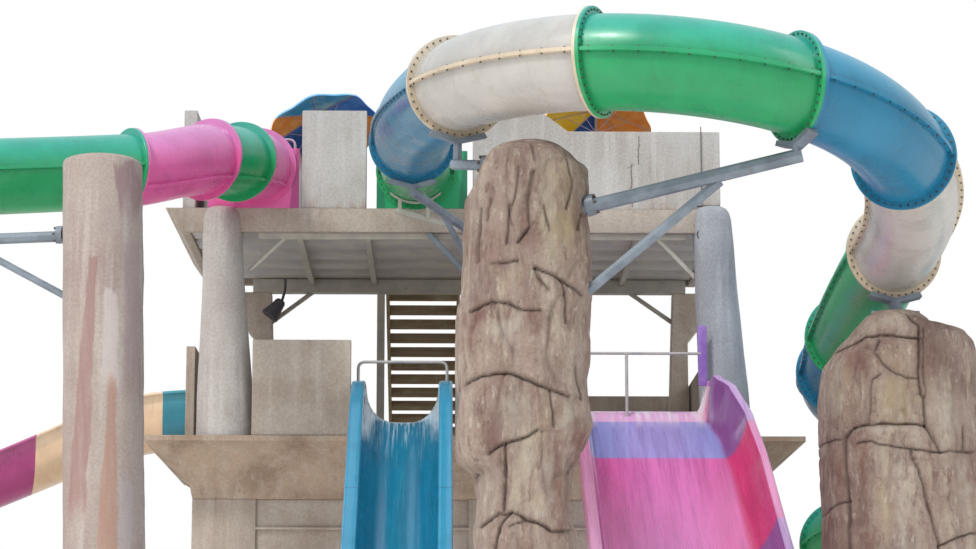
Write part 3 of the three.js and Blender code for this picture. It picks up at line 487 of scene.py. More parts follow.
# Joins a colour, a bump and, where there is one, a roughness to a material's shader
def joinLook(tree, shader, colour, height, strength, distance, rough=None):
    bump = addNode(tree, "Bump", None, Strength=strength, Distance=distance, Height=height)
    tree.links.new(colour, shader.inputs["Base Color"])
    tree.links.new(bump.outputs[0], shader.inputs["Normal"])
    if rough:
        tree.links.new(rough, shader.inputs["Roughness"])


def rgb(text):
    parts = [int(text[i : i + 2], 16) / 255 for i in (0, 2, 4)]
    return tuple(p / 12.92 if p <= 0.04045 else ((p + 0.055) / 1.055) ** 2.4 for p in parts) + (1,)


# Render and concrete finishes
wallFinishes = {
    "wallRender": {"base": "ada195", "stain": "8b7768", "bleach": "bdb2a7", "scale": 0.7, "patches": 0.45,
                   "streaks": 0.45, "drips": 0.5},
    "corniceRender": {"base": "ab9784", "stain": "7d6655", "bleach": "b9ada0", "scale": 0.9, "patches": 0.6,
                      "streaks": 0.35, "drips": 0.75},
    "deckRender": {"base": "ada297", "stain": "8a7b6e", "bleach": "b9b1a8", "scale": 1.1, "patches": 0.55,
                   "streaks": 0.35, "drips": 0.5},
    "columnRender": {"base": "b2aba6", "stain": "968b85", "bleach": "c1bcb8", "scale": 1.0, "patches": 0.45,
                     "streaks": 0.6, "drips": 0.4},
    "coolRender": {"base": "9a9da3", "stain": "84868b", "bleach": "abafb6", "scale": 1.0, "patches": 0.5,
                   "streaks": 0.6, "drips": 0.45},
    # Painted light: rearRender and beamRender are paler copies of the render, lit in colour for the rear columns and
    # the rear beam under the deck
    "rearRender": {"base": "bfb2a6", "stain": "94826f", "bleach": "cdc2b4", "scale": 1.2, "patches": 0.5,
                   "streaks": 0.3, "drips": 0.4},
    "beamRender": {"base": "d8cdb9", "stain": "b4a68c", "bleach": "e2d9c8", "scale": 1.2, "patches": 0.5,
                   "streaks": 0.3, "drips": 0.4},
}


def wallMaterial(name, look):
    material, tree, shader, spot = newMaterial(name, 0.86, specular=0.25)
    group = weathered(tree, spot, **look)
    joinLook(tree, shader, group.outputs["Color"], group.outputs["Height"], 0.7, 0.012)
    return material


wallMaterials = {name: wallMaterial(name, look) for name, look in wallFinishes.items()}


# Hair crack: dark where x is close to a wandering upright line, between two heights
def crackMask(tree, spot, x, low, high, lean=0.0):
    split = axesOf(tree, spot)
    wander = noiseNode(tree, spot, 5.0, 4, 0.6)
    line = times(tree, mathNode(tree, "SUBTRACT", wander, 0.5), 0.10)
    line = mathNode(tree, "ADD", line, times(tree, mathNode(tree, "SUBTRACT", split[2], low), lean))
    away = mathNode(tree, "ABSOLUTE", mathNode(tree, "SUBTRACT", mathNode(tree, "SUBTRACT", split[0], x), line))
    near = rangeNode(tree, away, 0.004, 0.016, 1.0, 0.0)
    inside = times(tree, rangeNode(tree, split[2], low - 0.02, low + 0.02),
                   rangeNode(tree, split[2], high - 0.02, high + 0.02, 1.0, 0.0))
    return times(tree, near, inside)


def parapetMaterial():
    material, tree, shader, spot = newMaterial("paleRender", 0.84, specular=0.25)
    group = weathered(tree, spot, "b2afac", "94887d", "c2bfbc", 0.55, 0.45, 0.5, 0.45)
    colour = group.outputs["Color"]
    for x, low, high, lean in ((2.61, 10.84, 11.58, 0.0), (2.72, 11.57, 12.06, 0.05), (2.53, 11.5, 11.58, 1.6)):
        mask = crackMask(tree, spot, x, low, high, lean)
        colour = mixColour(tree, times(tree, mask, 0.75), colour, rgb("4a4038"))
    height = axesOf(tree, spot)[2]
    foot = rangeNode(tree, height, 10.8, 11.1, 0.55, 0.0)
    ragged = rangeNode(tree, noiseNode(tree, spot, 1.0, 4, 0.6, (7.0, 7.0, 1.0)), 0.4, 0.65)
    colour = mixColour(tree, times(tree, foot, ragged), colour, rgb("8f7663"))
    joinLook(tree, shader, colour, group.outputs["Height"], 0.6, 0.010)
    return material


paleRender = parapetMaterial()


# Carved rock render: grey-pink base mottled at several sizes, with painted rust, pale and straw areas from the
# mesh's own values, darkened in the carved joints
def rockMaterial():
    material, tree, shader, spot = newMaterial("carvedRock", 0.88, specular=0.2)
    base = weathered(tree, spot, "a69286", "886f65", "b9ad9f", 1.7, 0.75, 0.6, 0.55)
    colour = base.outputs["Color"]
    for stretch, low, high, amount, shade in (
        ((3.6, 3.6, 1.0), 0.52, 0.66, 0.7, "866f6c"), ((4.6, 4.2, 0.9), 0.55, 0.68, 0.7, "bcae98"),
        ((9.0, 9.0, 3.6), 0.54, 0.66, 0.6, "755a52"), ((12.0, 12.0, 5.0), 0.55, 0.68, 0.65, "c4b9aa"),
    ):
        mask = rangeNode(tree, noiseNode(tree, spot, 1.0, 6, 0.65, stretch), low, high, 0.0, amount)
        colour = mixColour(tree, mask, colour, rgb(shade))
    ragged = rangeNode(tree, noiseNode(tree, spot, 1.0, 6, 0.7, (7.0, 7.0, 2.2)), 0.32, 0.56)
    for tone, shade, amount in (("rust", "7b5850", 0.8), ("pale", "bdb4a6", 0.72), ("straw", "b3a27f", 0.6)):
        mask = meshValue(tree, tone)
        mask = times(tree, times(tree, mask, ragged), amount)
        colour = mixColour(tree, mask, colour, rgb(shade))
    crack = meshValue(tree, "crack")
    hollow = meshValue(tree, "hollow")
    colour = mixColour(tree, times(tree, hollow, 0.5), colour, rgb("6c5550"))
    colour = mixColour(tree, times(tree, crack, 0.62), colour, rgb("4a3d38"))
    pits = noiseNode(tree, spot, 1.0, 8, 0.74, (9.0, 9.0, 5.0))
    height = mathNode(tree, "ADD", base.outputs["Height"], times(tree, pits, 2.2))
    joinLook(tree, shader, colour, height, 1.0, 0.034)
    return material


carvedRock = rockMaterial()

# Shell finishes: base, lit from above, grime and how much of it
shellFinishes = {
    "greenShell": ("25955c", "2f9f8c", "35604a", 0.2),
    "blueShell": ("1f7193", "3f93b3", "2c4c5c", 0.18),
    "whiteShell": ("b3aea8", "b4b3af", "8d7766", 0.3),
    "creamFlange": ("c4b49c", "d2c6b2", "7a5f48", 0.4),
    "pinkShell": ("d45c98", "cc80b6", "7c3a60", 0.2),
    "tealFlume": ("347f92", "57a3b3", "4a5c60", 0.3),
    "creamFlume": ("e2c3a2", "ecd8c0", "b0845c", 0.35),
    "magentaFlume": ("a8467c", "c06c9c", "7a4058", 0.35),
}


def shellMaterial(name, look):
    base, lit, grime, amount = look
    material, tree, shader, spot = newMaterial(name, 0.3, coat=0.14, specular=0.42)
    top = meshValue(tree, "topLight")
    group = placedGroup(tree, mouldedShell, Position=spot, Top_Light=top, Base=rgb(base), Lit=rgb(lit),
                        Grime=rgb(grime), Grime_Amount=amount)
    joinLook(tree, shader, group.outputs["Color"], group.outputs["Height"], 0.25, 0.012, group.outputs["Roughness"])
    return material


shells = {name: shellMaterial(name, look) for name, look in shellFinishes.items()}


# Galvanised and painted steel: cloudy zinc, rust near the joints and a light brushed grain
def steelMaterial(name, base, worn, rust, amount, roughness, metallic):
    material, tree, shader, spot = newMaterial(name, roughness, metallic)
    cloud = noiseNode(tree, spot, 3.2, 5, 0.6)
    colour = mixColour(tree, rangeNode(tree, cloud, 0.35, 0.7), rgb(base), rgb(worn))
    spots = rangeNode(tree, noiseNode(tree, spot, 6.0, 6, 0.7), 0.6, 0.74, 0.0, amount)
    colour = mixColour(tree, spots, colour, rgb(rust))
    joinLook(tree, shader, colour, noiseNode(tree, spot, 40.0, 3, 0.6), 0.2, 0.003,
             rangeNode(tree, cloud, 0.3, 0.7, roughness - 0.1, roughness + 0.15))
    return material


armSteel = steelMaterial("armSteel", "69727b", "848e98", "6b4a38", 0.45, 0.55, 0.15)
beamSteel = steelMaterial("beamSteel", "a9a59d", "bdb7ab", "66503f", 0.5, 0.65, 0.05)
soffitSheet = steelMaterial("soffitSheet", "b4b2b4", "c8c3ba", "5b4a3e", 0.5, 0.6, 0.1)
boltSteel = steelMaterial("boltSteel", "4a4442", "6a625c", "5a3a2a", 0.7, 0.5, 0.5)
palePipe = steelMaterial("palePipe", "b4b0ad", "a09e9e", "8a7468", 0.3, 0.4, 0.1)
rosePipe = steelMaterial("rosePipe", "c8b2bd", "b79aa8", "8a6468", 0.3, 0.35, 0.2)
violetBoard = steelMaterial("violetBoard", "7f55a8", "9a78bd", "54406a", 0.3, 0.4, 0.0)
print("materials built")

# CAD solids with softened edges: finish, bevel and nodes
finishes = {**wallMaterials, "paleRender": paleRender, "beamSteel": beamSteel, "armSteel": armSteel}
edges = [
    ("wallRender", 0.018, "base_side_walls"),
    ("corniceRender", 0.015, "lower_deck"),
    ("wallRender", 0.012, "lower_front_parapet lower_middle_parapet lower_rear_parapet"),
    ("deckRender", 0.012, "upper_deck"),
    ("rearRender", 0.015, "column_rear_left column_rear_right"),
    ("paleRender", 0.014, "upper_left_panel upper_right_parapet upper_left_parapet upper_side_parapet"),
    ("beamSteel", 0.006, "deck_steelwork"),
    ("armSteel", 0.004, "flume_support arm_loop_start arm_loop_end arm_return arm_tube_a arm_tower spiral_mast"),
]


# A merged copy of a CAD node with smooth shading between close faces and a small bevel on its edges
def softenNode(node, material, bevel):
    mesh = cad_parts[node].data.copy()
    mesh.materials.clear()
    mesh.materials.append(material)
    work = bmesh.new()
    work.from_mesh(mesh)
    bmesh.ops.remove_doubles(work, verts=work.verts, dist=2e-5)
    bmesh.ops.dissolve_limit(work, angle_limit=math.radians(0.6), verts=work.verts, edges=work.edges)
    work.to_mesh(mesh)
    work.free()
    mesh.polygons.foreach_set("material_index", np.zeros(len(mesh.polygons), np.int32))
    mesh.shade_smooth()
    mesh.set_sharp_from_angle(angle=math.radians(34))
    mesh.name = node + "_soft"
    piece = placeObject(mesh.name, mesh)
    if bevel:
        rounding = piece.modifiers.new("edges", "BEVEL")
        rounding.width = bevel
        rounding.segments = 2
        rounding.limit_method = "ANGLE"
        rounding.angle_limit = math.radians(40)
        rounding.harden_normals = False
    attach(piece, "root")
    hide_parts(node)


for finish, bevel, nodes in edges:
    for node in nodes.split():
        softenNode(node, finishes[finish], bevel)
print("concrete and steel softened")

# Base front wall: a set-back slab between three piers, with a narrow ledge at the foot of each plank course
baseWall = {
    "low": (-4.65, -2.4, 0.0), "high": (4.65, -2.2103, 6.0), "face": -2.46, "inner": -2.39,
    "piers": ((-4.65, -3.6), (-0.1, 0.1), (3.6, 4.65)), "bays": ((-3.61, -0.09), (0.09, 3.61)), "course": 0.5,
}


def makeBaseWall(values):
    boxes = [softBox(values["low"], values["high"], 0.01)]
    top = values["high"][2]
    for left, right in values["piers"]:
        boxes.append(softBox((left, values["face"], 0.0), (right, values["inner"], top), 0.012))
    for left, right in values["bays"]:
        for k in range(int(top / values["course"])):
            z = k * values["course"]
            boxes.append(softBox((left, values["face"], z), (right, values["inner"], z + 0.04), 0.01))
    addParts("baseFrontWall", boxes, wallMaterials["wallRender"], 30, "base_front_wall")


makeBaseWall(baseWall)

# Enclosed tubes
gap = 0.0003
tube = {
    "radius": 0.575,
    "wall": 0.03,
    "flange": 0.668,
    "flangeThickness": 0.035,
    "seamReach": 0.062,
    "seamHalf": 0.024,
    "boltPitch": 0.235,
    "ringBolts": 40,
    "boltRadius": 0.013,
    "around": 72,
    "step": 0.09,
}
tubeA = [
    (-3.64, -2.9502, 11.5, -90, 0.14),
    (-3.868, -3.8, 11.372, -108, 0.16),
    (-4.281, -4.68, 11.191, -120, 0.2),
    (-5.38, -5.97, 10.684, -144.5, 0.2),
    (-8.65, -7.54, 10.14, -155, 0.15),
    (-10.9, -8.48, 9.8, -160, 0.14),
]
tubeB = [
    (-0.985, -2.9502, 11.45, -90, 0.13),
    (-0.993, -6.6, 11.004, -89, 0.136),
    (-0.34, -13.03, 10.062, -76, 0.115),
    (1.29, -14.87, 9.856, -26, 0.105),
    (3.64, -14.91, 9.548, 24, 0.147),
    (5.235, -13.12, 9.144, 69, 0.152),
    (5.711, -9.7, 8.668, 95, 0.16),
    (5.62, -6.3, 8.06, 89, 0.165),
]
spiral = {"x": 8.52, "y": -4.6, "radius": 2.8, "top": 7.8, "fall": 0.68, "quarters": 10}
for quarter in range(spiral["quarters"] + 1):
    turn = math.pi - quarter * math.pi / 2
    tubeB.append((
        spiral["x"] + spiral["radius"] * math.cos(turn), spiral["y"] + spiral["radius"] * math.sin(turn),
        spiral["top"] - spiral["fall"] * quarter, 90 - 90 * quarter, 0.155,
    ))


# Weights of a cubic that joins two places, each with its own pull, and the weights of its slope
def cubicWeights(t):
    t2, t3 = t**2, t**3
    return ((2 * t3 - 3 * t2 + 1, t3 - 2 * t2 + t, 3 * t2 - 2 * t3, t3 - t2),
            (6 * t2 - 6 * t, 3 * t2 - 4 * t + 1, 6 * t - 6 * t2, 3 * t2 - 2 * t))


# Place and heading part of the way between two stations: a cubic that keeps both headings in plan and both
# falls, its pull at each end being the chord over the squared cosine of a quarter of the turn
def between(start, end, share):
    a, b = math.radians(start[3]), math.radians(end[3])
    chord = math.hypot(end[0] - start[0], end[1] - start[1])
    reach = chord / math.cos((b - a) / 4) ** 2
    w, d = cubicWeights(np.asarray(share, float))
    pulls = [
        (start[0], reach * math.cos(a), end[0], reach * math.cos(b)),
        (start[1], reach * math.sin(a), end[1], reach * math.sin(b)),
        (start[2], -start[4] * reach, end[2], -end[4] * reach),
    ]
    place = np.stack([sum(k * p for k, p in zip(w, pull)) for pull in pulls], axis=-1)
    slope = np.stack([sum(k * p for k, p in zip(d, pull)) for pull in pulls], axis=-1)
    return place, np.arctan2(slope[..., 1], slope[..., 0]), slope / reach, reach


# Upright ring at each place: across and up values of a profile, carried square to the heading
def carried(place, heading, across, up):
    x = place[..., 0:1] + across * np.sin(heading)[..., None]
    y = place[..., 1:2] - across * np.cos(heading)[..., None]
    return np.stack([x, y, place[..., 2:3] + up * np.ones_like(x)], axis=-1)


# Section profile: a circle with a flat-sided seam flange standing out at mid height on each side. Returned as
# angle and radius, with the same angles for the inner skin
def seamProfile(values):
    radius, half, reach = values["radius"], values["seamHalf"], values["seamReach"]
    foot = math.asin(half / radius)
    outer = radius + reach
    tip = math.asin(half / outer)
    count = values["around"] // 2
    upper = np.linspace(foot + 0.03, np.pi - foot - 0.03, count - 1)
    edge = [(foot, radius), (tip * 1.02, outer - 0.004), (tip * 0.8, outer)]
    angles, radii = [], []
    for turn in (0, np.pi):
        low = [(turn - a, r) for a, r in edge]
        high = [(turn + a, r) for a, r in reversed(edge)]
        span = [(turn + a, radius) for a in upper]
        for a, r in low + high + span:
            angles.append(a)
            radii.append(r)
    return np.array(angles), np.array(radii), count


# A tube section: the outer skin with its seams and end rings, then the inner skin back to the start, closed on
# itself both ways. The profile is rolled about the tube's middle by an angle in degrees. Bolt heads stand on the
# end rings and along both seams
def tubeSection(name, stations, colour, flangeColour, node, roll, bolted, values=tube):
    angles, radii, count = seamProfile(values)
    angles = angles + math.radians(roll)
    flat = np.full_like(radii, values["flange"])
    inside = np.full_like(radii, values["radius"] - values["wall"])
    outer, inner = [], []
    boltPlaces, boltWays = [], []
    last = len(stations) - 2
    for span in range(last + 1):
        start, end = stations[span], stations[span + 1]
        reach = between(start, end, 0.0)[3]
        first = gap / 2 if span == 0 else 0.0
        final = reach - gap / 2 if span == last else reach
        thick = values["flangeThickness"]
        steps = max(6, int(reach / values["step"]))
        body = np.linspace(thick, reach - thick, steps)
        rows = [(first, flat, 1), (thick - 0.004, flat, 1), (thick, flat - 0.004, 1)]
        rows += [(thick, radii, 0)] + [(s, radii, 0) for s in body[1:-1]] + [(reach - thick, radii, 0)]
        rows += [(reach - thick, flat - 0.004, 1), (reach - thick + 0.004, flat, 1), (final, flat, 1)]
        shares = np.array([r[0] for r in rows]) / reach
        place, heading, _, _ = between(start, end, shares)
        profile = np.stack([r[1] for r in rows])
        grid = carried(place, heading, profile * np.cos(angles), profile * np.sin(angles))
        outer.append((grid, np.array([r[2] for r in rows])))
        place, heading, _, _ = between(start, end, np.linspace(first, final, steps) / reach)
        inner.append(carried(place, heading, inside * np.cos(angles), inside * np.sin(angles)))
        ringAngles = (np.arange(values["ringBolts"]) + 0.5) * 2 * np.pi / values["ringBolts"]
        boltRadius = (values["flange"] + values["radius"]) / 2 + 0.004
        for distance, way in ((thick, 1), (reach - thick, -1)):
            place, heading, ahead, _ = between(start, end, np.array([distance / reach]))
            ring = carried(place, heading, boltRadius * np.cos(ringAngles), boltRadius * np.sin(ringAngles))[0]
            boltPlaces.append(ring)
            boltWays.append(np.repeat(way * ahead / np.linalg.norm(ahead), len(ring), axis=0))
        number = max(3, int(reach / values["boltPitch"]))
        middle = (np.arange(number) + 0.5) / number
        place, heading, _, _ = between(start, end, middle)
        seamRadius = values["radius"] + values["seamReach"] * 0.55
        for side in (-1, 1):
            for way in (-1, 1):
                spots = carried(place, heading, np.full((len(middle), 1), side * seamRadius),
                                np.full((len(middle), 1), way * values["seamHalf"]))[:, 0]
                boltPlaces.append(spots)
                boltWays.append(np.tile([0.0, 0.0, way], (len(spots), 1)))
    skin = np.concatenate([g for g, _ in outer])
    marks = np.concatenate([m for _, m in outer])
    lining = np.concatenate(inner)[::-1]
    points = np.concatenate([skin, lining])
    rows, columns = points.shape[:2]
    faces = gridFaces(rows, columns, rowsClosed=True, columnsClosed=True)
    atSeam = np.zeros(columns, bool)
    seamStep = 6 + count - 1
    for start in (0, seamStep):
        atSeam[start : start + 5] = True
    rowMark = np.concatenate([marks, np.zeros(len(lining), int)])
    isSkin = np.concatenate([np.ones(len(skin), bool), np.zeros(len(lining), bool)])
    ringRow = (rowMark == 1) | (np.roll(rowMark, -1) == 1)
    flangeFace = isSkin[:, None] & (ringRow[:, None] | atSeam)
    slots = flangeFace.astype(int).reshape(-1)
    top = np.concatenate([np.tile(np.sin(angles), (len(skin), 1)), np.tile(-0.4 + 0 * angles, (len(lining), 1))])
    piece = addPiece(name, points, faces, [shells[colour], shells[flangeColour]], slots, {"topLight": top}, 30)
    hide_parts(node)
    if bolted:
        places, faces = boltHeads(np.concatenate(boltPlaces), np.concatenate(boltWays), values["boltRadius"], 0.015)
        addPiece(name + "Bolts", places, faces, boltSteel, sharp=30, flip=False)


# Node, stations, shell, flange, roll of the seams in degrees
sections = [
    ("tube_a_throat", tubeA[0:2], "pinkShell", "pinkShell", 34),
    ("tube_a_collar", tubeA[1:3], "greenShell", "greenShell", 34),
    ("tube_a_bend", tubeA[2:4], "pinkShell", "pinkShell", 34),
    ("tube_a_run", tubeA[3:5], "greenShell", "greenShell", 0),
    ("tube_a_end", tubeA[4:6], "pinkShell", "pinkShell", 0),
    ("tube_b_throat", tubeB[0:2], "greenShell", "greenShell", 0),
    ("tube_b_run", tubeB[1:3], "blueShell", "blueShell", 0),
    ("tube_b_loop_start", tubeB[2:4], "whiteShell", "creamFlange", 0),
    ("tube_b_loop_top", tubeB[3:5], "greenShell", "greenShell", 0),
    ("tube_b_loop_end", tubeB[4:6], "blueShell", "blueShell", 0),
    ("tube_b_return", tubeB[5:7], "whiteShell", "creamFlange", 0),
    ("tube_b_fall", tubeB[6:8], "greenShell", "greenShell", 0),
    ("tube_b_spiral_1", tubeB[7:11], "blueShell", "blueShell", 0),
    ("tube_b_spiral_2", tubeB[10:13], "greenShell", "greenShell", 0),
    ("tube_b_spiral_3", tubeB[12:15], "whiteShell", "creamFlange", 0),
    ("tube_b_spiral_4", tubeB[14:17], "blueShell", "blueShell", 0),
    ("tube_b_spiral_5", tubeB[16:19], "greenShell", "greenShell", 0),
]
for node, stations, colour, flangeColour, roll in sections:
    tubeSection(camelCase(node), stations, colour, flangeColour, node, roll, node.startswith("tube_b"))
print("tubes made")

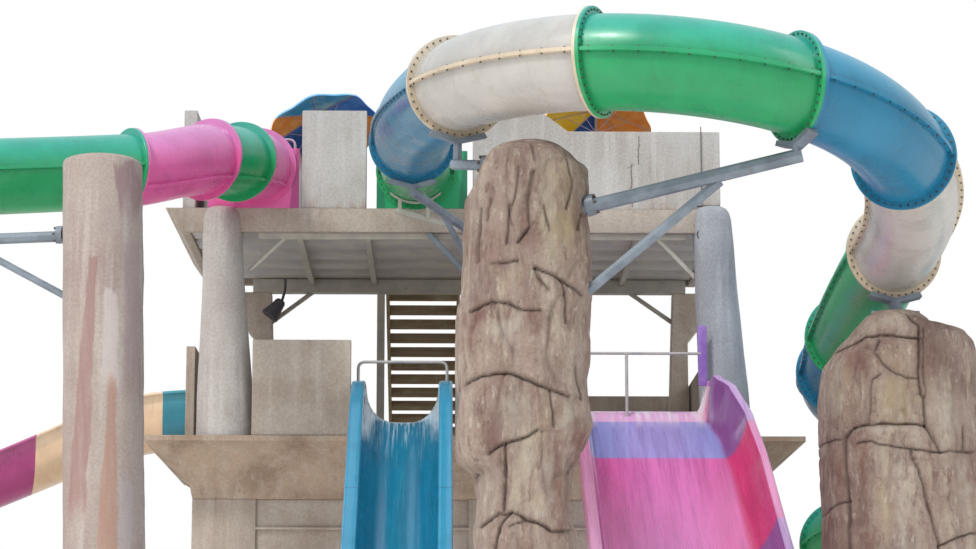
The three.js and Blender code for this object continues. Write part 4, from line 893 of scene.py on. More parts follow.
# Rock pillars: outline of each side as height and place, then cracks as depth, step of the rock above the crack and
# the line it follows, then painted areas as place, half sizes and strength
pillars = {
    "centre": {
        "node": "rock_pillar_centre",
        "y": -13.9,
        "depth": 0.78,
        "seed": 3,
        "left": [(0, -0.3), (2.6, -0.19), (4.18, -0.134), (4.37, -0.142), (4.49, -0.101), (4.79, -0.093),
                 (4.95, -0.118), (5.07, -0.152), (5.12, -0.236), (5.2, -0.309), (5.32, -0.335), (5.62, -0.344),
                 (5.99, -0.326), (6.25, -0.321), (6.38, -0.345), (6.64, -0.35), (6.94, -0.327), (7.15, -0.277),
                 (7.66, -0.251), (7.97, -0.257), (8.36, -0.254), (8.44, -0.22), (8.65, -0.132), (8.79, -0.083),
                 (8.89, -0.023), (8.966, 0.036), (9.03, 0.121), (9.067, 0.245), (9.09, 0.391), (9.124, 0.56)],
        "right": [(0, 1.3), (2.6, 1.13), (4.18, 1.079), (4.37, 1.057), (4.46, 1.007), (4.79, 1.0), (4.87, 1.035),
                  (5.12, 1.061), (5.24, 1.095), (5.43, 1.18), (5.575, 1.255), (5.66, 1.273), (5.85, 1.241),
                  (6.0, 1.217), (6.23, 1.202), (6.39, 1.245), (6.56, 1.261), (7.15, 1.278), (7.67, 1.263), (8.05, 1.24),
                  (8.29, 1.208), (8.46, 1.25), (8.57, 1.227), (8.76, 1.204), (8.85, 1.092), (8.95, 1.008), (9.04, 0.9),
                  (9.09, 0.731), (9.124, 0.62)],
        "cracks": [
            (0.035, 0.02, [(-0.24, 6.08), (-0.16, 6.11), (-0.05, 6.15), (0.13, 6.17), (0.26, 6.17), (0.36, 6.14),
                           (0.49, 6.08), (0.64, 6.01), (0.74, 5.97), (0.85, 5.94), (0.97, 5.91)]),
            (0.035, 0.025, [(0.01, 5.24), (0.07, 5.28), (0.13, 5.32), (0.2, 5.34), (0.36, 5.39), (0.49, 5.43),
                            (0.6, 5.5)]),
            (0.04, 0, [(0.21, 5.33), (0.21, 5.2), (0.2, 4.96), (0.2, 4.57)]),
            (0.035, 0.02, [(-0.08, 4.4), (0.04, 4.47), (0.13, 4.52), (0.28, 4.53), (0.36, 4.51), (0.49, 4.45),
                           (0.57, 4.43), (0.65, 4.39), (0.75, 4.32), (0.84, 4.33), (0.97, 4.35)]),
            (0.04, 0, [(0.28, 4.53), (0.2, 4.44), (0.15, 4.36), (0.11, 4.24), (0.08, 4.12), (0.05, 3.6)]),
            (0.02, 0, [(0.26, 4.37), (0.36, 4.41), (0.46, 4.45)]),
            (0.03, 0, [(0.74, 5.97), (0.76, 5.83), (0.78, 5.66), (0.8, 5.55)]),
            (0.035, 0, [(1.05, 6.27), (1.06, 6.14), (1.1, 6.02), (1.11, 5.91)]),
            (0.05, 0, [(0.976, 5.04), (1.04, 5.15)]),
            (0.05, 0, [(-0.24, 5.04), (-0.16, 4.99), (-0.11, 5.02)]),
            (0.03, 0, [(0.07, 7.47), (0.24, 7.46), (0.37, 7.48)]),
            (0.035, 0.018, [(0.55, 7.42), (0.65, 7.37), (0.78, 7.32), (0.88, 7.27), (1.0, 7.2), (1.11, 7.14)]),
            (0.025, 0, [(0.55, 7.42), (0.58, 7.3), (0.65, 7.23), (0.72, 7.15)]),
            (0.03, 0, [(0.87, 7.27), (0.91, 7.13), (0.91, 6.93), (0.92, 6.76)]),
            (0.035, 0.018, [(-0.18, 6.93), (-0.09, 6.97), (-0.01, 7.01), (0.14, 7.01), (0.27, 6.99), (0.37, 6.92),
                            (0.5, 6.89), (0.63, 6.9)]),
            (0.03, 0, [(-0.08, 8.16), (-0.1, 7.52)]), (0.03, 0, [(0.27, 8.19), (0.24, 7.69)]),
            (0.02, 0, [(0.37, 8.62), (0.35, 8.36), (0.29, 8.11)]),
            (0.045, 0, [(0.54, 8.57), (0.49, 8.26), (0.5, 7.92), (0.37, 7.72)]),
            (0.04, 0, [(1.13, 8.13), (1.08, 7.92)]),
            (0.025, 0, [(0.54, 8.94), (0.57, 8.72)]), (0.02, 0, [(0.67, 8.16), (0.73, 7.86)]),
            (0.025, 0, [(0.97, 8.78), (1.02, 8.5), (0.95, 8.16)]), (0.025, 0, [(0.04, 8.26), (-0.01, 8.02)]),
            (0.04, 0.02, [(-0.2, 3.3), (0.2, 3.42), (0.6, 3.2), (1.1, 3.3)]),
            (0.04, 0.02, [(-0.25, 1.9), (0.3, 2.1), (0.8, 1.8), (1.2, 1.95)]),
            (0.03, 0, [(0.5, 3.2), (0.45, 2.6), (0.55, 2.0)]),
        ],
        "rust": [(-0.13, 6.8, 0.12, 0.22, 1), (0.57, 6.8, 0.12, 0.25, 1), (1.1, 5.4, 0.12, 0.3, 1),
                 (0.8, 5.0, 0.1, 0.6, 0.9), (0.1, 7.65, 0.3, 0.25, 0.6), (1.08, 7.95, 0.1, 0.22, 0.9),
                 (0.05, 5.4, 0.1, 0.4, 0.6), (0.3, 4.0, 0.2, 0.4, 0.6), (0.55, 4.95, 0.05, 0.3, 0.8),
                 (0.45, 7.85, 0.12, 0.3, 0.7)],
        "pale": [(0.3, 5.76, 0.16, 0.28, 1), (0.49, 5.1, 0.07, 0.25, 1), (0.72, 4.95, 0.06, 0.35, 0.9),
                 (0.25, 6.7, 0.25, 0.12, 0.8), (0.95, 6.35, 0.2, 0.3, 0.6), (0.05, 4.8, 0.1, 0.3, 0.7),
                 (0.95, 5.7, 0.12, 0.2, 0.8), (0.75, 8.3, 0.1, 0.25, 0.7)],
        "straw": [(0.87, 7.9, 0.22, 0.45, 1), (0.9, 8.5, 0.2, 0.25, 0.8), (0.2, 7.3, 0.2, 0.1, 0.5),
                  (0.7, 5.7, 0.1, 0.3, 0.5)],
    },
    "right": {
        "node": "rock_pillar_right",
        "y": -9.9,
        "depth": 0.95,
        "seed": 11,
        "left": [(0, 4.74), (2.6, 4.62), (4.54, 4.604), (5.19, 4.594), (5.67, 4.592), (6.0, 4.6), (6.4, 4.626),
                 (6.79, 4.642), (6.89, 4.656), (7.02, 4.704), (7.18, 4.809), (7.4, 5.009), (7.58, 5.16), (7.73, 5.286),
                 (7.787, 5.45)],
        "right": [(0, 6.95), (2.6, 6.82), (4.54, 6.784), (5.61, 6.793), (6.3, 6.774), (6.65, 6.745), (6.79, 6.721),
                  (7.19, 6.721), (7.31, 6.688), (7.39, 6.618), (7.47, 6.499), (7.51, 6.353), (7.54, 6.159),
                  (7.61, 6.062), (7.73, 5.97), (7.787, 5.85)],
        "cracks": [
            (0.03, 0.02, [(4.82, 7.17), (4.98, 7.22), (5.15, 7.3), (5.38, 7.31), (5.57, 7.28), (5.8, 7.27)]),
            (0.045, 0, [(5.68, 7.61), (5.73, 7.49), (5.81, 7.42), (5.81, 7.03), (5.81, 6.75), (5.81, 6.51),
                        (5.85, 6.45), (5.86, 6.27), (5.87, 6.08)]),
            (0.025, 0, [(5.87, 7.39), (5.87, 7.03), (5.88, 6.7), (5.86, 6.46)]),
            (0.025, 0, [(5.29, 7.22), (5.22, 7.08), (5.33, 6.91), (5.47, 6.79), (5.61, 6.73), (5.8, 6.73)]),
            (0.04, -0.025, [(4.94, 6.07), (5.07, 6.09), (5.35, 6.1), (5.71, 6.1), (5.87, 6.08)]),
            (0.035, 0, [(5.87, 6.08), (5.96, 5.91), (6.06, 5.74)]),
            (0.045, 0, [(4.94, 6.07), (4.84, 5.96), (4.83, 5.86), (4.83, 5.6), (4.84, 5.32), (4.84, 5.09), (4.84, 4.46),
                        (4.86, 3.1)]),
            (0.025, 0, [(4.99, 5.86), (5.16, 5.88), (5.25, 5.83), (5.53, 5.79), (5.65, 5.78), (5.72, 5.76)]),
            (0.035, 0, [(5.64, 5.77), (5.71, 5.58), (5.8, 5.3), (5.86, 5.04), (5.92, 4.74), (5.98, 4.5), (6.0, 4.0)]),
            (0.03, 0.01, [(5.72, 5.76), (6.05, 5.74), (6.29, 5.76), (6.53, 5.76)]),
            (0.025, 0, [(4.48, 5.92), (4.64, 5.93), (4.79, 5.93)]),
            (0.02, 0, [(5.13, 6.1), (5.15, 6.43), (5.18, 6.7), (5.28, 6.77)]),
            (0.025, 0, [(4.6, 4.99), (4.71, 5.06), (4.86, 5.11)]),
            (0.03, 0.015, [(5.98, 4.5), (6.2, 4.6), (6.39, 4.67), (6.6, 4.7)]),
            (0.02, 0, [(6.39, 6.1), (6.38, 5.77)]),
            (0.045, 0.02, [(4.7, 3.1), (5.3, 3.3), (5.9, 3.0), (6.6, 3.2)]),
            (0.045, 0.02, [(4.7, 1.6), (5.4, 1.4), (6.0, 1.7), (6.7, 1.5)]),
        ],
        "rust": [(4.98, 6.95, 0.18, 0.3, 0.9), (6.04, 6.9, 0.16, 0.28, 1), (5.03, 5.5, 0.1, 0.5, 1),
                 (5.08, 4.7, 0.1, 0.6, 0.9), (4.7, 5.5, 0.12, 0.5, 1), (4.62, 4.7, 0.2, 0.4, 1),
                 (6.5, 5.3, 0.08, 0.6, 0.5), (6.0, 5.2, 0.2, 0.4, 0.4), (4.7, 6.2, 0.1, 0.3, 0.5)],
        "pale": [(6.14, 6.3, 0.22, 0.42, 1), (5.5, 5.5, 0.12, 0.3, 1), (5.54, 4.9, 0.1, 0.5, 1),
                 (5.35, 6.02, 0.4, 0.06, 0.9), (4.72, 6.45, 0.1, 0.2, 0.5), (6.35, 5.3, 0.1, 0.5, 0.6),
                 (5.4, 7.5, 0.3, 0.1, 0.6)],
        "straw": [(5.48, 6.45, 0.28, 0.32, 1), (5.5, 7.0, 0.22, 0.18, 0.8), (4.85, 6.6, 0.12, 0.3, 0.7),
                  (5.3, 5.0, 0.15, 0.4, 0.7)],
    },
}


# Closest distance in x and z from each point to a chain of straight stretches
def distanceToLine(x, z, line):
    best = np.full(x.shape, 1e9)
    for (ax, az), (bx, bz) in zip(line, line[1:]):
        dx, dz = bx - ax, bz - az
        share = np.clip(((x - ax) * dx + (z - az) * dz) / (dx * dx + dz * dz), 0, 1)
        best = np.minimum(best, np.hypot(x - ax - share * dx, z - az - share * dz))
    return best


# Outline through levels: straight interpolation, averaged over a short stretch of height
def outlineAt(heights, levels, spread=0.035):
    known, sides = np.array(levels).T
    shifts = np.linspace(-spread, spread, 7)
    return np.mean([np.interp(heights + k, known, sides) for k in shifts], axis=0)


# Strength of a painted area: highest where a point lies inside any of its ovals, easing out at their edges
def paintedArea(x, z, ovals):
    total = np.zeros(x.shape)
    for cx, cz, halfX, halfZ, strength in ovals:
        away = ((x - cx) / halfX) ** 2 + ((z - cz) / halfZ) ** 2
        total = np.maximum(total, strength * np.exp(-(away**1.4)))
    return total


rockSurface = {"lumps": 0.032, "ribs": 0.02, "creases": 0.035, "facets": 0.03, "chips": 0.007, "wander": 0.014,
               "squareness": 0.78, "dome": 0.45, "domeRim": 0.03, "seenFrom": 4.1, "cap": 0.24,
               "rows": (44, 246, 36), "around": 300}


# Pillar: a rounded box section whose half width follows the outline and whose depth closes in a dome at the top,
# swollen by layered noise and by creases where a noise crosses zero. Along each crack line a narrow groove is cut,
# and the rock above it stands out by the crack's step
def rockPillar(name, shape, surface=rockSurface):
    topZ = shape["left"][-1][0]
    lowRows, seenRows, capRows = surface["rows"]
    start, end = surface["seenFrom"], topZ - surface["cap"]
    heights = np.concatenate([np.linspace(0, start, lowRows, endpoint=False),
                              np.linspace(start, end, seenRows, endpoint=False), np.linspace(end, topZ, capRows)])
    turn = np.linspace(0, 2 * np.pi, surface["around"], endpoint=False)
    turn = turn + 0.2 * np.sin(2 * turn)
    left, right = outlineAt(heights, shape["left"]), outlineAt(heights, shape["right"])
    half, middle = (right - left) / 2, (left + right) / 2
    tall = surface["dome"]
    dome = np.sqrt(np.clip(1 - (np.clip(heights - (topZ - tall), 0, None) / tall) ** 2, 0, 1))
    depth = shape["depth"] * ((1 - surface["domeRim"]) * dome + surface["domeRim"])
    square = surface["squareness"]
    c, s = np.cos(turn), np.sin(turn)
    shapeX = np.sign(c) * np.abs(c) ** square
    shapeY = np.sign(s) * np.abs(s) ** square
    x = middle[:, None] + half[:, None] * shapeX
    y = shape["y"] + depth[:, None] * shapeY
    z = np.broadcast_to(heights[:, None], x.shape)
    points = np.stack([x, y, z], axis=-1)
    outward = np.stack([shapeX, shapeY * 1.1], axis=-1)
    outward = outward / np.linalg.norm(outward, axis=-1, keepdims=True)
    seed = shape["seed"]
    lumps = layeredNoise(points * (1.5, 1.5, 1.0), 3, seed) * surface["lumps"]
    ribs = layeredNoise(points * (5.2, 5.2, 0.8), 3, seed + 5) * surface["ribs"]
    crease = np.abs(layeredNoise(points * (2.3, 2.3, 1.1), 3, seed + 7))
    crease = -surface["creases"] * np.exp(-crease / 0.16)
    facets = surface["facets"] * np.abs(layeredNoise(points * (3.4, 3.4, 1.7), 2, seed + 12))
    chips = layeredNoise(points * (11.0, 11.0, 7.0), 3, seed + 9) * surface["chips"]
    move = lumps + ribs + crease + facets + chips
    hollow = np.clip(-(ribs * 18 + crease * 16 + chips * 20), 0, 1) * 0.8
    crack = np.zeros(x.shape)
    wander = surface["wander"] * layeredNoise(points * 7.0, 2, seed + 2)
    for depthOfCut, step, line in shape["cracks"]:
        away = distanceToLine(x + wander, z + np.roll(wander, 40, axis=1), line)
        width = 0.010 + depthOfCut * 0.22
        cut = np.clip(1 - away / (width * 1.5), 0, 1) ** 1.2
        shoulder = np.exp(-((away / (width * 4.0)) ** 2))
        move = move - depthOfCut * 1.25 * cut - depthOfCut * 0.3 * shoulder
        if step:
            lineX, lineZ = np.array(line).T
            above = z > np.interp(x, lineX, lineZ)
            move = move + np.where(above == (step > 0), abs(step), -abs(step) * 0.4) * np.exp(-away / 0.16)
        crack = np.maximum(crack, cut)
        hollow = np.maximum(hollow, 0.4 * shoulder)
    fade = np.clip((topZ - heights) / 0.25, 0.0, 1.0)[:, None] * 0.85 + 0.15
    points[..., 0] += outward[..., 0] * move * fade * 0.75
    points[..., 1] += outward[..., 1] * move * fade
    faces = gridFaces(len(heights), len(turn), columnsClosed=True, capped=True)
    values = {"crack": crack, "hollow": hollow}
    for tone in ("rust", "pale", "straw"):
        values[tone] = paintedArea(x + wander * 4, z + np.roll(wander, 90, axis=1) * 6, shape[tone])
    piece = addPiece(name, points, faces, carvedRock, None, values, 180)
    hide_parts(shape["node"])


rockPillar("rockPillarCentre", pillars["centre"])
rockPillar("rockPillarRight", pillars["right"])
print("rock pillars carved")

# Round columns: radius and height of the shaft, and how far the head stands forward
roundColumns = {
    "column_front_left": {"x": -4.095, "y": -2.68, "foot": 6.9653, "top": 10.83, "lean": -0.03,
                          "finish": "columnRender",
                          "shaft": [(0.49, 6.9653), (0.466, 7.67), (0.4, 8.7), (0.345, 9.6), (0.325, 10.3)]},
    "column_front_right": {"x": 4.165, "y": -2.68, "foot": 6.9653, "top": 10.86, "lean": -0.057, "finish": "coolRender",
                           "shaft": [(0.425, 6.9653), (0.41, 7.67), (0.372, 8.9), (0.335, 9.9), (0.325, 10.3)]},
}
headForward = {"from": 9.4, "to": 10.35, "by": 0.16}


# Turned column: radius as a smooth curve of height, with trowel marks as fine noise, leaning a little with height
def turnedColumn(name, node, x, y, profile, lean, leanFrom, material, rough=0.004, seed=1, forward=None):
    known = np.array(profile)
    heights = np.unique(np.concatenate([np.linspace(known[0, 1], known[-1, 1], 180), known[:, 1]]))
    radius = np.interp(heights, known[:, 1], known[:, 0])
    shifts = np.linspace(-0.1, 0.1, 5)
    body = heights < known[-1, 1] - 0.35
    eased = np.mean([np.interp(np.clip(heights + k, known[0, 1], None), known[:, 1], known[:, 0]) for k in shifts],
                    axis=0)
    radius = np.where(body, eased, radius)
    turn = np.linspace(0, 2 * np.pi, 96, endpoint=False)
    ringX, ringY = np.cos(turn), np.sin(turn)
    px = radius[:, None] * ringX
    py = radius[:, None] * ringY
    pz = np.broadcast_to(heights[:, None], px.shape)
    points = np.stack([px, py, pz], axis=-1)
    bump = layeredNoise(points * (2.2, 2.2, 1.4) + (x, y, 0), 4, seed) * rough
    size = np.maximum(radius, 1e-3)[:, None]
    points[..., 0] = px * (1 + bump / size) + x + lean * (pz - leanFrom)
    points[..., 1] = py * (1 + bump / size) + y
    if forward:
        rise = np.clip((pz - forward["from"]) / (forward["to"] - forward["from"]), 0, 1)
        points[..., 1] -= forward["by"] * rise**2 * (3 - 2 * rise) * np.clip(0.5 - 2.5 * ringY, 0, 1)
    faces = gridFaces(len(heights), len(turn), columnsClosed=True, capped=True)
    piece = addPiece(name, points, faces, material, None, None, 40)
    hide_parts(node)


for node, c in roundColumns.items():
    top = c["top"]
    head = [(0.32, top - 0.26), (0.31, top - 0.17), (0.29, top - 0.1), (0.255, top - 0.045), (0.2, top - 0.014),
            (0.12, top - 0.002), (0.02, top)]
    turnedColumn(camelCase(node), node, c["x"], c["y"], c["shaft"] + head, c["lean"], c["foot"],
                 wallMaterials[c["finish"]], 0.006, 4, headForward)


# Painted column: streaked render with ragged painted areas. Each area runs between two heights, its sides being
# straight lines given by their x at the top and at the foot
paintedAreas = [
    {"top": 10.12, "foot": 9.05, "left": (-5.22, -5.06), "right": (-4.77, -4.9), "shade": "8b7072", "amount": 0.85},
    {"top": 8.78, "foot": 4.9, "left": (-5.5, -5.76), "right": (-5.36, -5.44), "shade": "91706c", "amount": 0.8},
    {"top": 7.1, "foot": 2.6, "left": (-5.2, -5.32), "right": (-5.08, -4.98), "shade": "a17b69", "amount": 0.75},
    {"top": 9.0, "foot": 6.9, "left": (-5.06, -4.95), "right": (-4.84, -4.82), "shade": "9c898c", "amount": 0.6},
    {"top": 8.4, "foot": 6.6, "left": (-5.26, -5.3), "right": (-5.08, -5.02), "shade": "c9c0bd", "amount": 0.55},
    {"top": 5.6, "foot": 0.4, "left": (-5.02, -5.0), "right": (-4.82, -4.8), "shade": "a9a2a4", "amount": 0.6},
]


def paintedMaterial(areas):
    material, tree, shader, spot = newMaterial("paintedRender", 0.86, specular=0.25)
    group = weathered(tree, spot, "a4978f", "8f7a75", "b3a9a2", 0.8, 0.5, 0.7, 0.3)
    colour = group.outputs["Color"]
    split = axesOf(tree, spot)
    wobble = mathNode(tree, "SUBTRACT", noiseNode(tree, spot, 1.0, 5, 0.6, (3.5, 3.5, 1.1)), 0.5)
    across = mathNode(tree, "ADD", split[0], times(tree, wobble, 0.16))
    height = mathNode(tree, "ADD", split[2], times(tree, wobble, 1.1))
    grain = rangeNode(tree, noiseNode(tree, spot, 1.0, 5, 0.7, (16.0, 16.0, 1.2)), 0.25, 0.6, 0.45, 1.0)
    for area in areas:
        mask = rangeNode(tree, height, area["foot"], area["foot"] + 0.5)
        mask = times(tree, mask, rangeNode(tree, height, area["top"] - 0.12, area["top"], 1.0, 0.0))
        for (high, low), way in ((area["left"], 1), (area["right"], -1)):
            slope = (high - low) / (area["top"] - area["foot"])
            edge = mathNode(tree, "MULTIPLY_ADD", split[2], slope)
            edge.node.inputs[2].default_value = low - slope * area["foot"]
            past = times(tree, mathNode(tree, "SUBTRACT", across, edge), way)
            mask = times(tree, mask, rangeNode(tree, past, -0.012, 0.02))
        mask = times(tree, times(tree, mask, grain), area["amount"])
        colour = mixColour(tree, mask, colour, rgb(area["shade"]))
    joinLook(tree, shader, colour, group.outputs["Height"], 0.8, 0.014)
    return material


painted = {"x": -5.425, "y": -8.4, "radius": 0.58, "top": 10.24, "lean": -0.03}
profile = [(0.58, 0.0), (0.578, 2.0), (0.572, 6.0), (0.568, painted["top"] - 0.12), (0.56, painted["top"] - 0.06),
           (0.54, painted["top"] - 0.025), (0.5, painted["top"] - 0.006), (0.3, painted["top"] - 0.002),
           (0.03, painted["top"])]
turnedColumn("paintedColumn", "painted_column", painted["x"], painted["y"], profile, painted["lean"], painted["top"],
             paintedMaterial(paintedAreas), 0.014, 8)
print("columns turned")

# Open flume
flume = {"radius": 0.54, "wall": 0.035, "rim": 0.08, "side": 0.49, "step": 0.1}
flumeStations = [
    (-4.52, 1.75, 7.89, 180, 0),
    (-5.6, 1.76, 7.85, 181, 0.08),
    (-7.95, 1.42, 7.02, 196, 0.45),
    (-10.4, 0.45, 5.9, 206, 0.36),
]


# Trough profile: a half circle below upright sides, with rims that turn out and down at the top
def troughProfile(values, arc=30):
    r, wall, rim, side = values["radius"], values["wall"], values["rim"], values["side"]
    turn = np.linspace(np.pi, 2 * np.pi, arc)
    outer = np.stack([r * np.cos(turn), r * np.sin(turn)], axis=-1)
    inner = np.stack([(r - wall) * np.cos(turn), (r - wall) * np.sin(turn)], axis=-1)[::-1]
    inX = r - wall
    left = [(-inX, side - 0.012), (-inX - 0.012, side), (-r - rim + 0.012, side), (-r - rim, side - 0.012),
            (-r - rim, side - wall - 0.01), (-r - rim + 0.012, side - wall - 0.012), (-r, side - wall - 0.012)]
    right = [(-x, z) for x, z in reversed(left)]
    return np.concatenate([np.array(left), outer, np.array(right), inner])


# Trough section: the profile carried upright along the way between two stations
def troughSection(name, node, start, end, values, material):
    profile = troughProfile(values)
    reach = between(start, end, 0.0)[3]
    steps = max(4, int(reach / values["step"]))
    place, heading, _, _ = between(start, end, np.linspace(gap, reach - gap, steps) / reach)
    grid = carried(place, heading, profile[:, 0], profile[:, 1])
    faces = gridFaces(*grid.shape[:2], columnsClosed=True, capped=True)
    top = np.broadcast_to(profile[:, 1] / values["side"] - 0.4, grid.shape[:2])
    piece = addPiece(name, grid, faces, material, None, {"topLight": top}, 40)
    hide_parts(node)


flumeParts = [("flume_start", "tealFlume"), ("flume_middle", "creamFlume"), ("flume_end", "magentaFlume")]
for index, (node, finish) in enumerate(flumeParts):
    troughSection(camelCase(node), node, flumeStations[index], flumeStations[index + 1], flume, shells[finish])
print("flume made")


# Wet slide beds: streaks run down the slide, the rims are sun bleached
def bedMaterial(name, base, deep, rim, rough):
    material, tree, shader, spot = newMaterial(name, rough, coat=0.5)
    streak = noiseNode(tree, spot, 1.0, 5, 0.6, (9.0, 0.5, 0.5))
    fine = noiseNode(tree, spot, 1.0, 4, 0.6, (34.0, 1.1, 1.1))
    colour = mixColour(tree, rangeNode(tree, streak, 0.35, 0.7), rgb(base), rgb(deep))
    colour = mixColour(tree, rangeNode(tree, fine, 0.55, 0.75, 0.0, 0.3), colour, rgb(rim))
    return material, tree, shader, spot, colour, streak, fine


def blueBedMaterial():
    material, tree, shader, spot, colour, streak, fine = bedMaterial("blueBed", "0c7698", "08688a", "2a8fb0", 0.14)
    rim = meshValue(tree, "rim")
    split = axesOf(tree, spot)
    joint = mathNode(tree, "ABSOLUTE", mathNode(tree, "SUBTRACT", split[2], 5.8))
    joint = rangeNode(tree, joint, 0.006, 0.014, 0.5, 0.0)
    colour = mixColour(tree, rim, colour, rgb("3189ac"))
    colour = mixColour(tree, times(tree, rim, joint), colour, rgb("1d5c78"))
    blotch = rangeNode(tree, noiseNode(tree, spot, 2.2, 5, 0.6), 0.45, 0.7, 0.0, 0.25)
    colour = mixColour(tree, blotch, colour, rgb("075a7a"))
    # Painted highlight: pale streaks near the crest, kept off the rims, stand in for glints on the wet bed
    crest = rangeNode(tree, split[1], -4.4, -3.05)
    crestHighlight = times(tree, crest, rangeNode(tree, fine, 0.47, 0.62, 0.0, 0.8))
    crestHighlight = times(tree, crestHighlight, mathNode(tree, "SUBTRACT", 1.0, rim))
    colour = mixColour(tree, crestHighlight, colour, rgb("c9e2ec"))
    joinLook(tree, shader, colour, mathNode(tree, "ADD", streak, times(tree, fine, 0.3)), 0.35, 0.02,
             rangeNode(tree, fine, 0.3, 0.7, 0.08, 0.3))
    return material


# Bands across the wide slide, changing where y passes each of these places
pinkBands = [(-3.36, "dba6cf"), (-4.65, "8b8dcb"), (-7.27, "d2569f"), (-9.95, "8d86c8"), (-12.6, "d458a8"),
             (-17.2, "8d86c8")]


def pinkBedMaterial(bands):
    material, tree, shader, spot, wet, streak, fine = bedMaterial("pinkBed", "ffffff", "e2d6e0", "ffffff", 0.22)
    split = axesOf(tree, spot)
    depth = split[1]
    before, shade = bands[0]
    colour = rgb(shade)
    for edge, shade in bands[1:]:
        past = rangeNode(tree, depth, before - 0.012, before + 0.012, 1.0, 0.0)
        colour = mixColour(tree, past, colour, rgb(shade))
        before = edge
    wall = meshValue(tree, "bank")
    shadeBank = mixColour(tree, 1.0, colour, rgb("ee5f9c"), "MULTIPLY")
    colour = mixColour(tree, times(tree, wall, 0.85), colour, shadeBank)
    rim = meshValue(tree, "rim")
    # Painted highlight: a paler strip along the middle of the bed for the sheen on the wet bed
    middle = mathNode(tree, "ABSOLUTE", mathNode(tree, "SUBTRACT", split[0], 2.9))
    colour = mixColour(tree, rangeNode(tree, middle, 0.2, 0.9, 0.22, 0.0), colour, rgb("d79be0"))
    leftRim = times(tree, rim, rangeNode(tree, split[0], 2.4, 2.5, 0.85, 0.0))
    colour = mixColour(tree, leftRim, colour, rgb("d9659f"))
    colour = mixColour(tree, times(tree, rim, 0.5), colour, rgb("e0a4c4"))
    colour = mixColour(tree, 1.0, colour, wet, "MULTIPLY")
    # Painted highlight: pale streaks near the crest stand in for glints on the wet lip
    crest = rangeNode(tree, depth, -3.7, -3.05)
    crestHighlight = times(tree, crest, rangeNode(tree, streak, 0.4, 0.6, 0.0, 0.65))
    colour = mixColour(tree, crestHighlight, colour, rgb("f1e6f0"))
    joinLook(tree, shader, colour, mathNode(tree, "ADD", streak, times(tree, fine, 0.4)), 0.35, 0.02,
             rangeNode(tree, fine, 0.3, 0.7, 0.16, 0.42))
    return material


blueBed = blueBedMaterial()
pinkBed = pinkBedMaterial(pinkBands)


# Way down a slide: cubic stretches through stations of y, z and pitch, keeping each pitch. Any further columns
# of the stations are eased from one to the next
def slideWay(stations, step):
    ys, zs, pitches, extras = [], [], [], []
    for a, b in zip(stations, stations[1:]):
        chord = math.hypot(b[0] - a[0], b[1] - a[1])
        t = np.linspace(0, 1, max(3, int(chord / step)), endpoint=False)
        pa, pb = math.radians(a[2]), math.radians(b[2])
        w, d = cubicWeights(t)
        inY = (a[0], -chord * math.cos(pa), b[0], -chord * math.cos(pb))
        inZ = (a[1], -chord * math.sin(pa), b[1], -chord * math.sin(pb))
        ys.append(sum(k * v for k, v in zip(w, inY)))
        zs.append(sum(k * v for k, v in zip(w, inZ)))
        slopeY, slopeZ = sum(k * v for k, v in zip(d, inY)), sum(k * v for k, v in zip(d, inZ))
        pitches.append(np.arctan2(-slopeZ, -slopeY))
        ease = w[2][:, None]
        extras.append((1 - ease) * np.array(a[3:], float) + ease * np.array(b[3:], float))
    last = stations[-1]
    ys.append([last[0]])
    zs.append([last[1]])
    pitches.append([math.radians(last[2])])
    extras.append(np.array([last[3:]], float))
    return np.concatenate(ys), np.concatenate(zs), np.concatenate(pitches), np.concatenate(extras)


# Rings square to the bed: across and up of the profile, up being tipped forward by the pitch
def slideGrid(y, z, pitch, across, up):
    across = np.broadcast_to(across, up.shape) if np.ndim(across) == 1 else across
    return np.stack([across, y[:, None] - up * np.sin(pitch)[:, None], z[:, None] + up * np.cos(pitch)[:, None]],
                    axis=-1)


# Narrow slide: half of its profile, from the middle of the bed over the rim and back below, and its mirror image
blueSlide = {
    "x": -1.19,
    "sill": ((-0.52, -3.12, 6.9653), (0.52, -2.7, 7.13)),
    "rail": {"half": 0.73, "y": -2.88, "foot": 7.8803, "top": 8.225, "bend": 0.12, "radius": 0.025, "plate": 0.06,
             "thick": 0.0127},
    "bed": [(-2.65, 7.2, 0), (-2.95, 7.2, 0), (-3.19, 7.175, 12), (-3.5, 7.04, 30), (-3.9, 6.76, 42), (-10.41, 0.9, 42),
            (-10.9, 0.54, 32), (-11.5, 0.27, 17), (-12.3, 0.13, 4), (-15.0, 0.095, 0)],
    "face": [(0.0, 0.0), (0.1, 0.001), (0.2, 0.008), (0.3, 0.04), (0.4, 0.105), (0.47, 0.18), (0.52, 0.26),
             (0.555, 0.35), (0.578, 0.45), (0.59, 0.55), (0.597, 0.63), (0.604, 0.662), (0.62, 0.678), (0.645, 0.681),
             (0.71, 0.683), (0.775, 0.681), (0.80, 0.676), (0.815, 0.66), (0.82, 0.635), (0.82, 0.55), (0.815, 0.535),
             (0.80, 0.53)],
    "under": [(0.68, 0.53), (0.662, 0.51), (0.645, 0.4), (0.615, 0.28), (0.555, 0.13), (0.47, 0.01), (0.36, -0.06),
              (0.23, -0.09), (0.1, -0.09), (0.0, -0.09)],
}


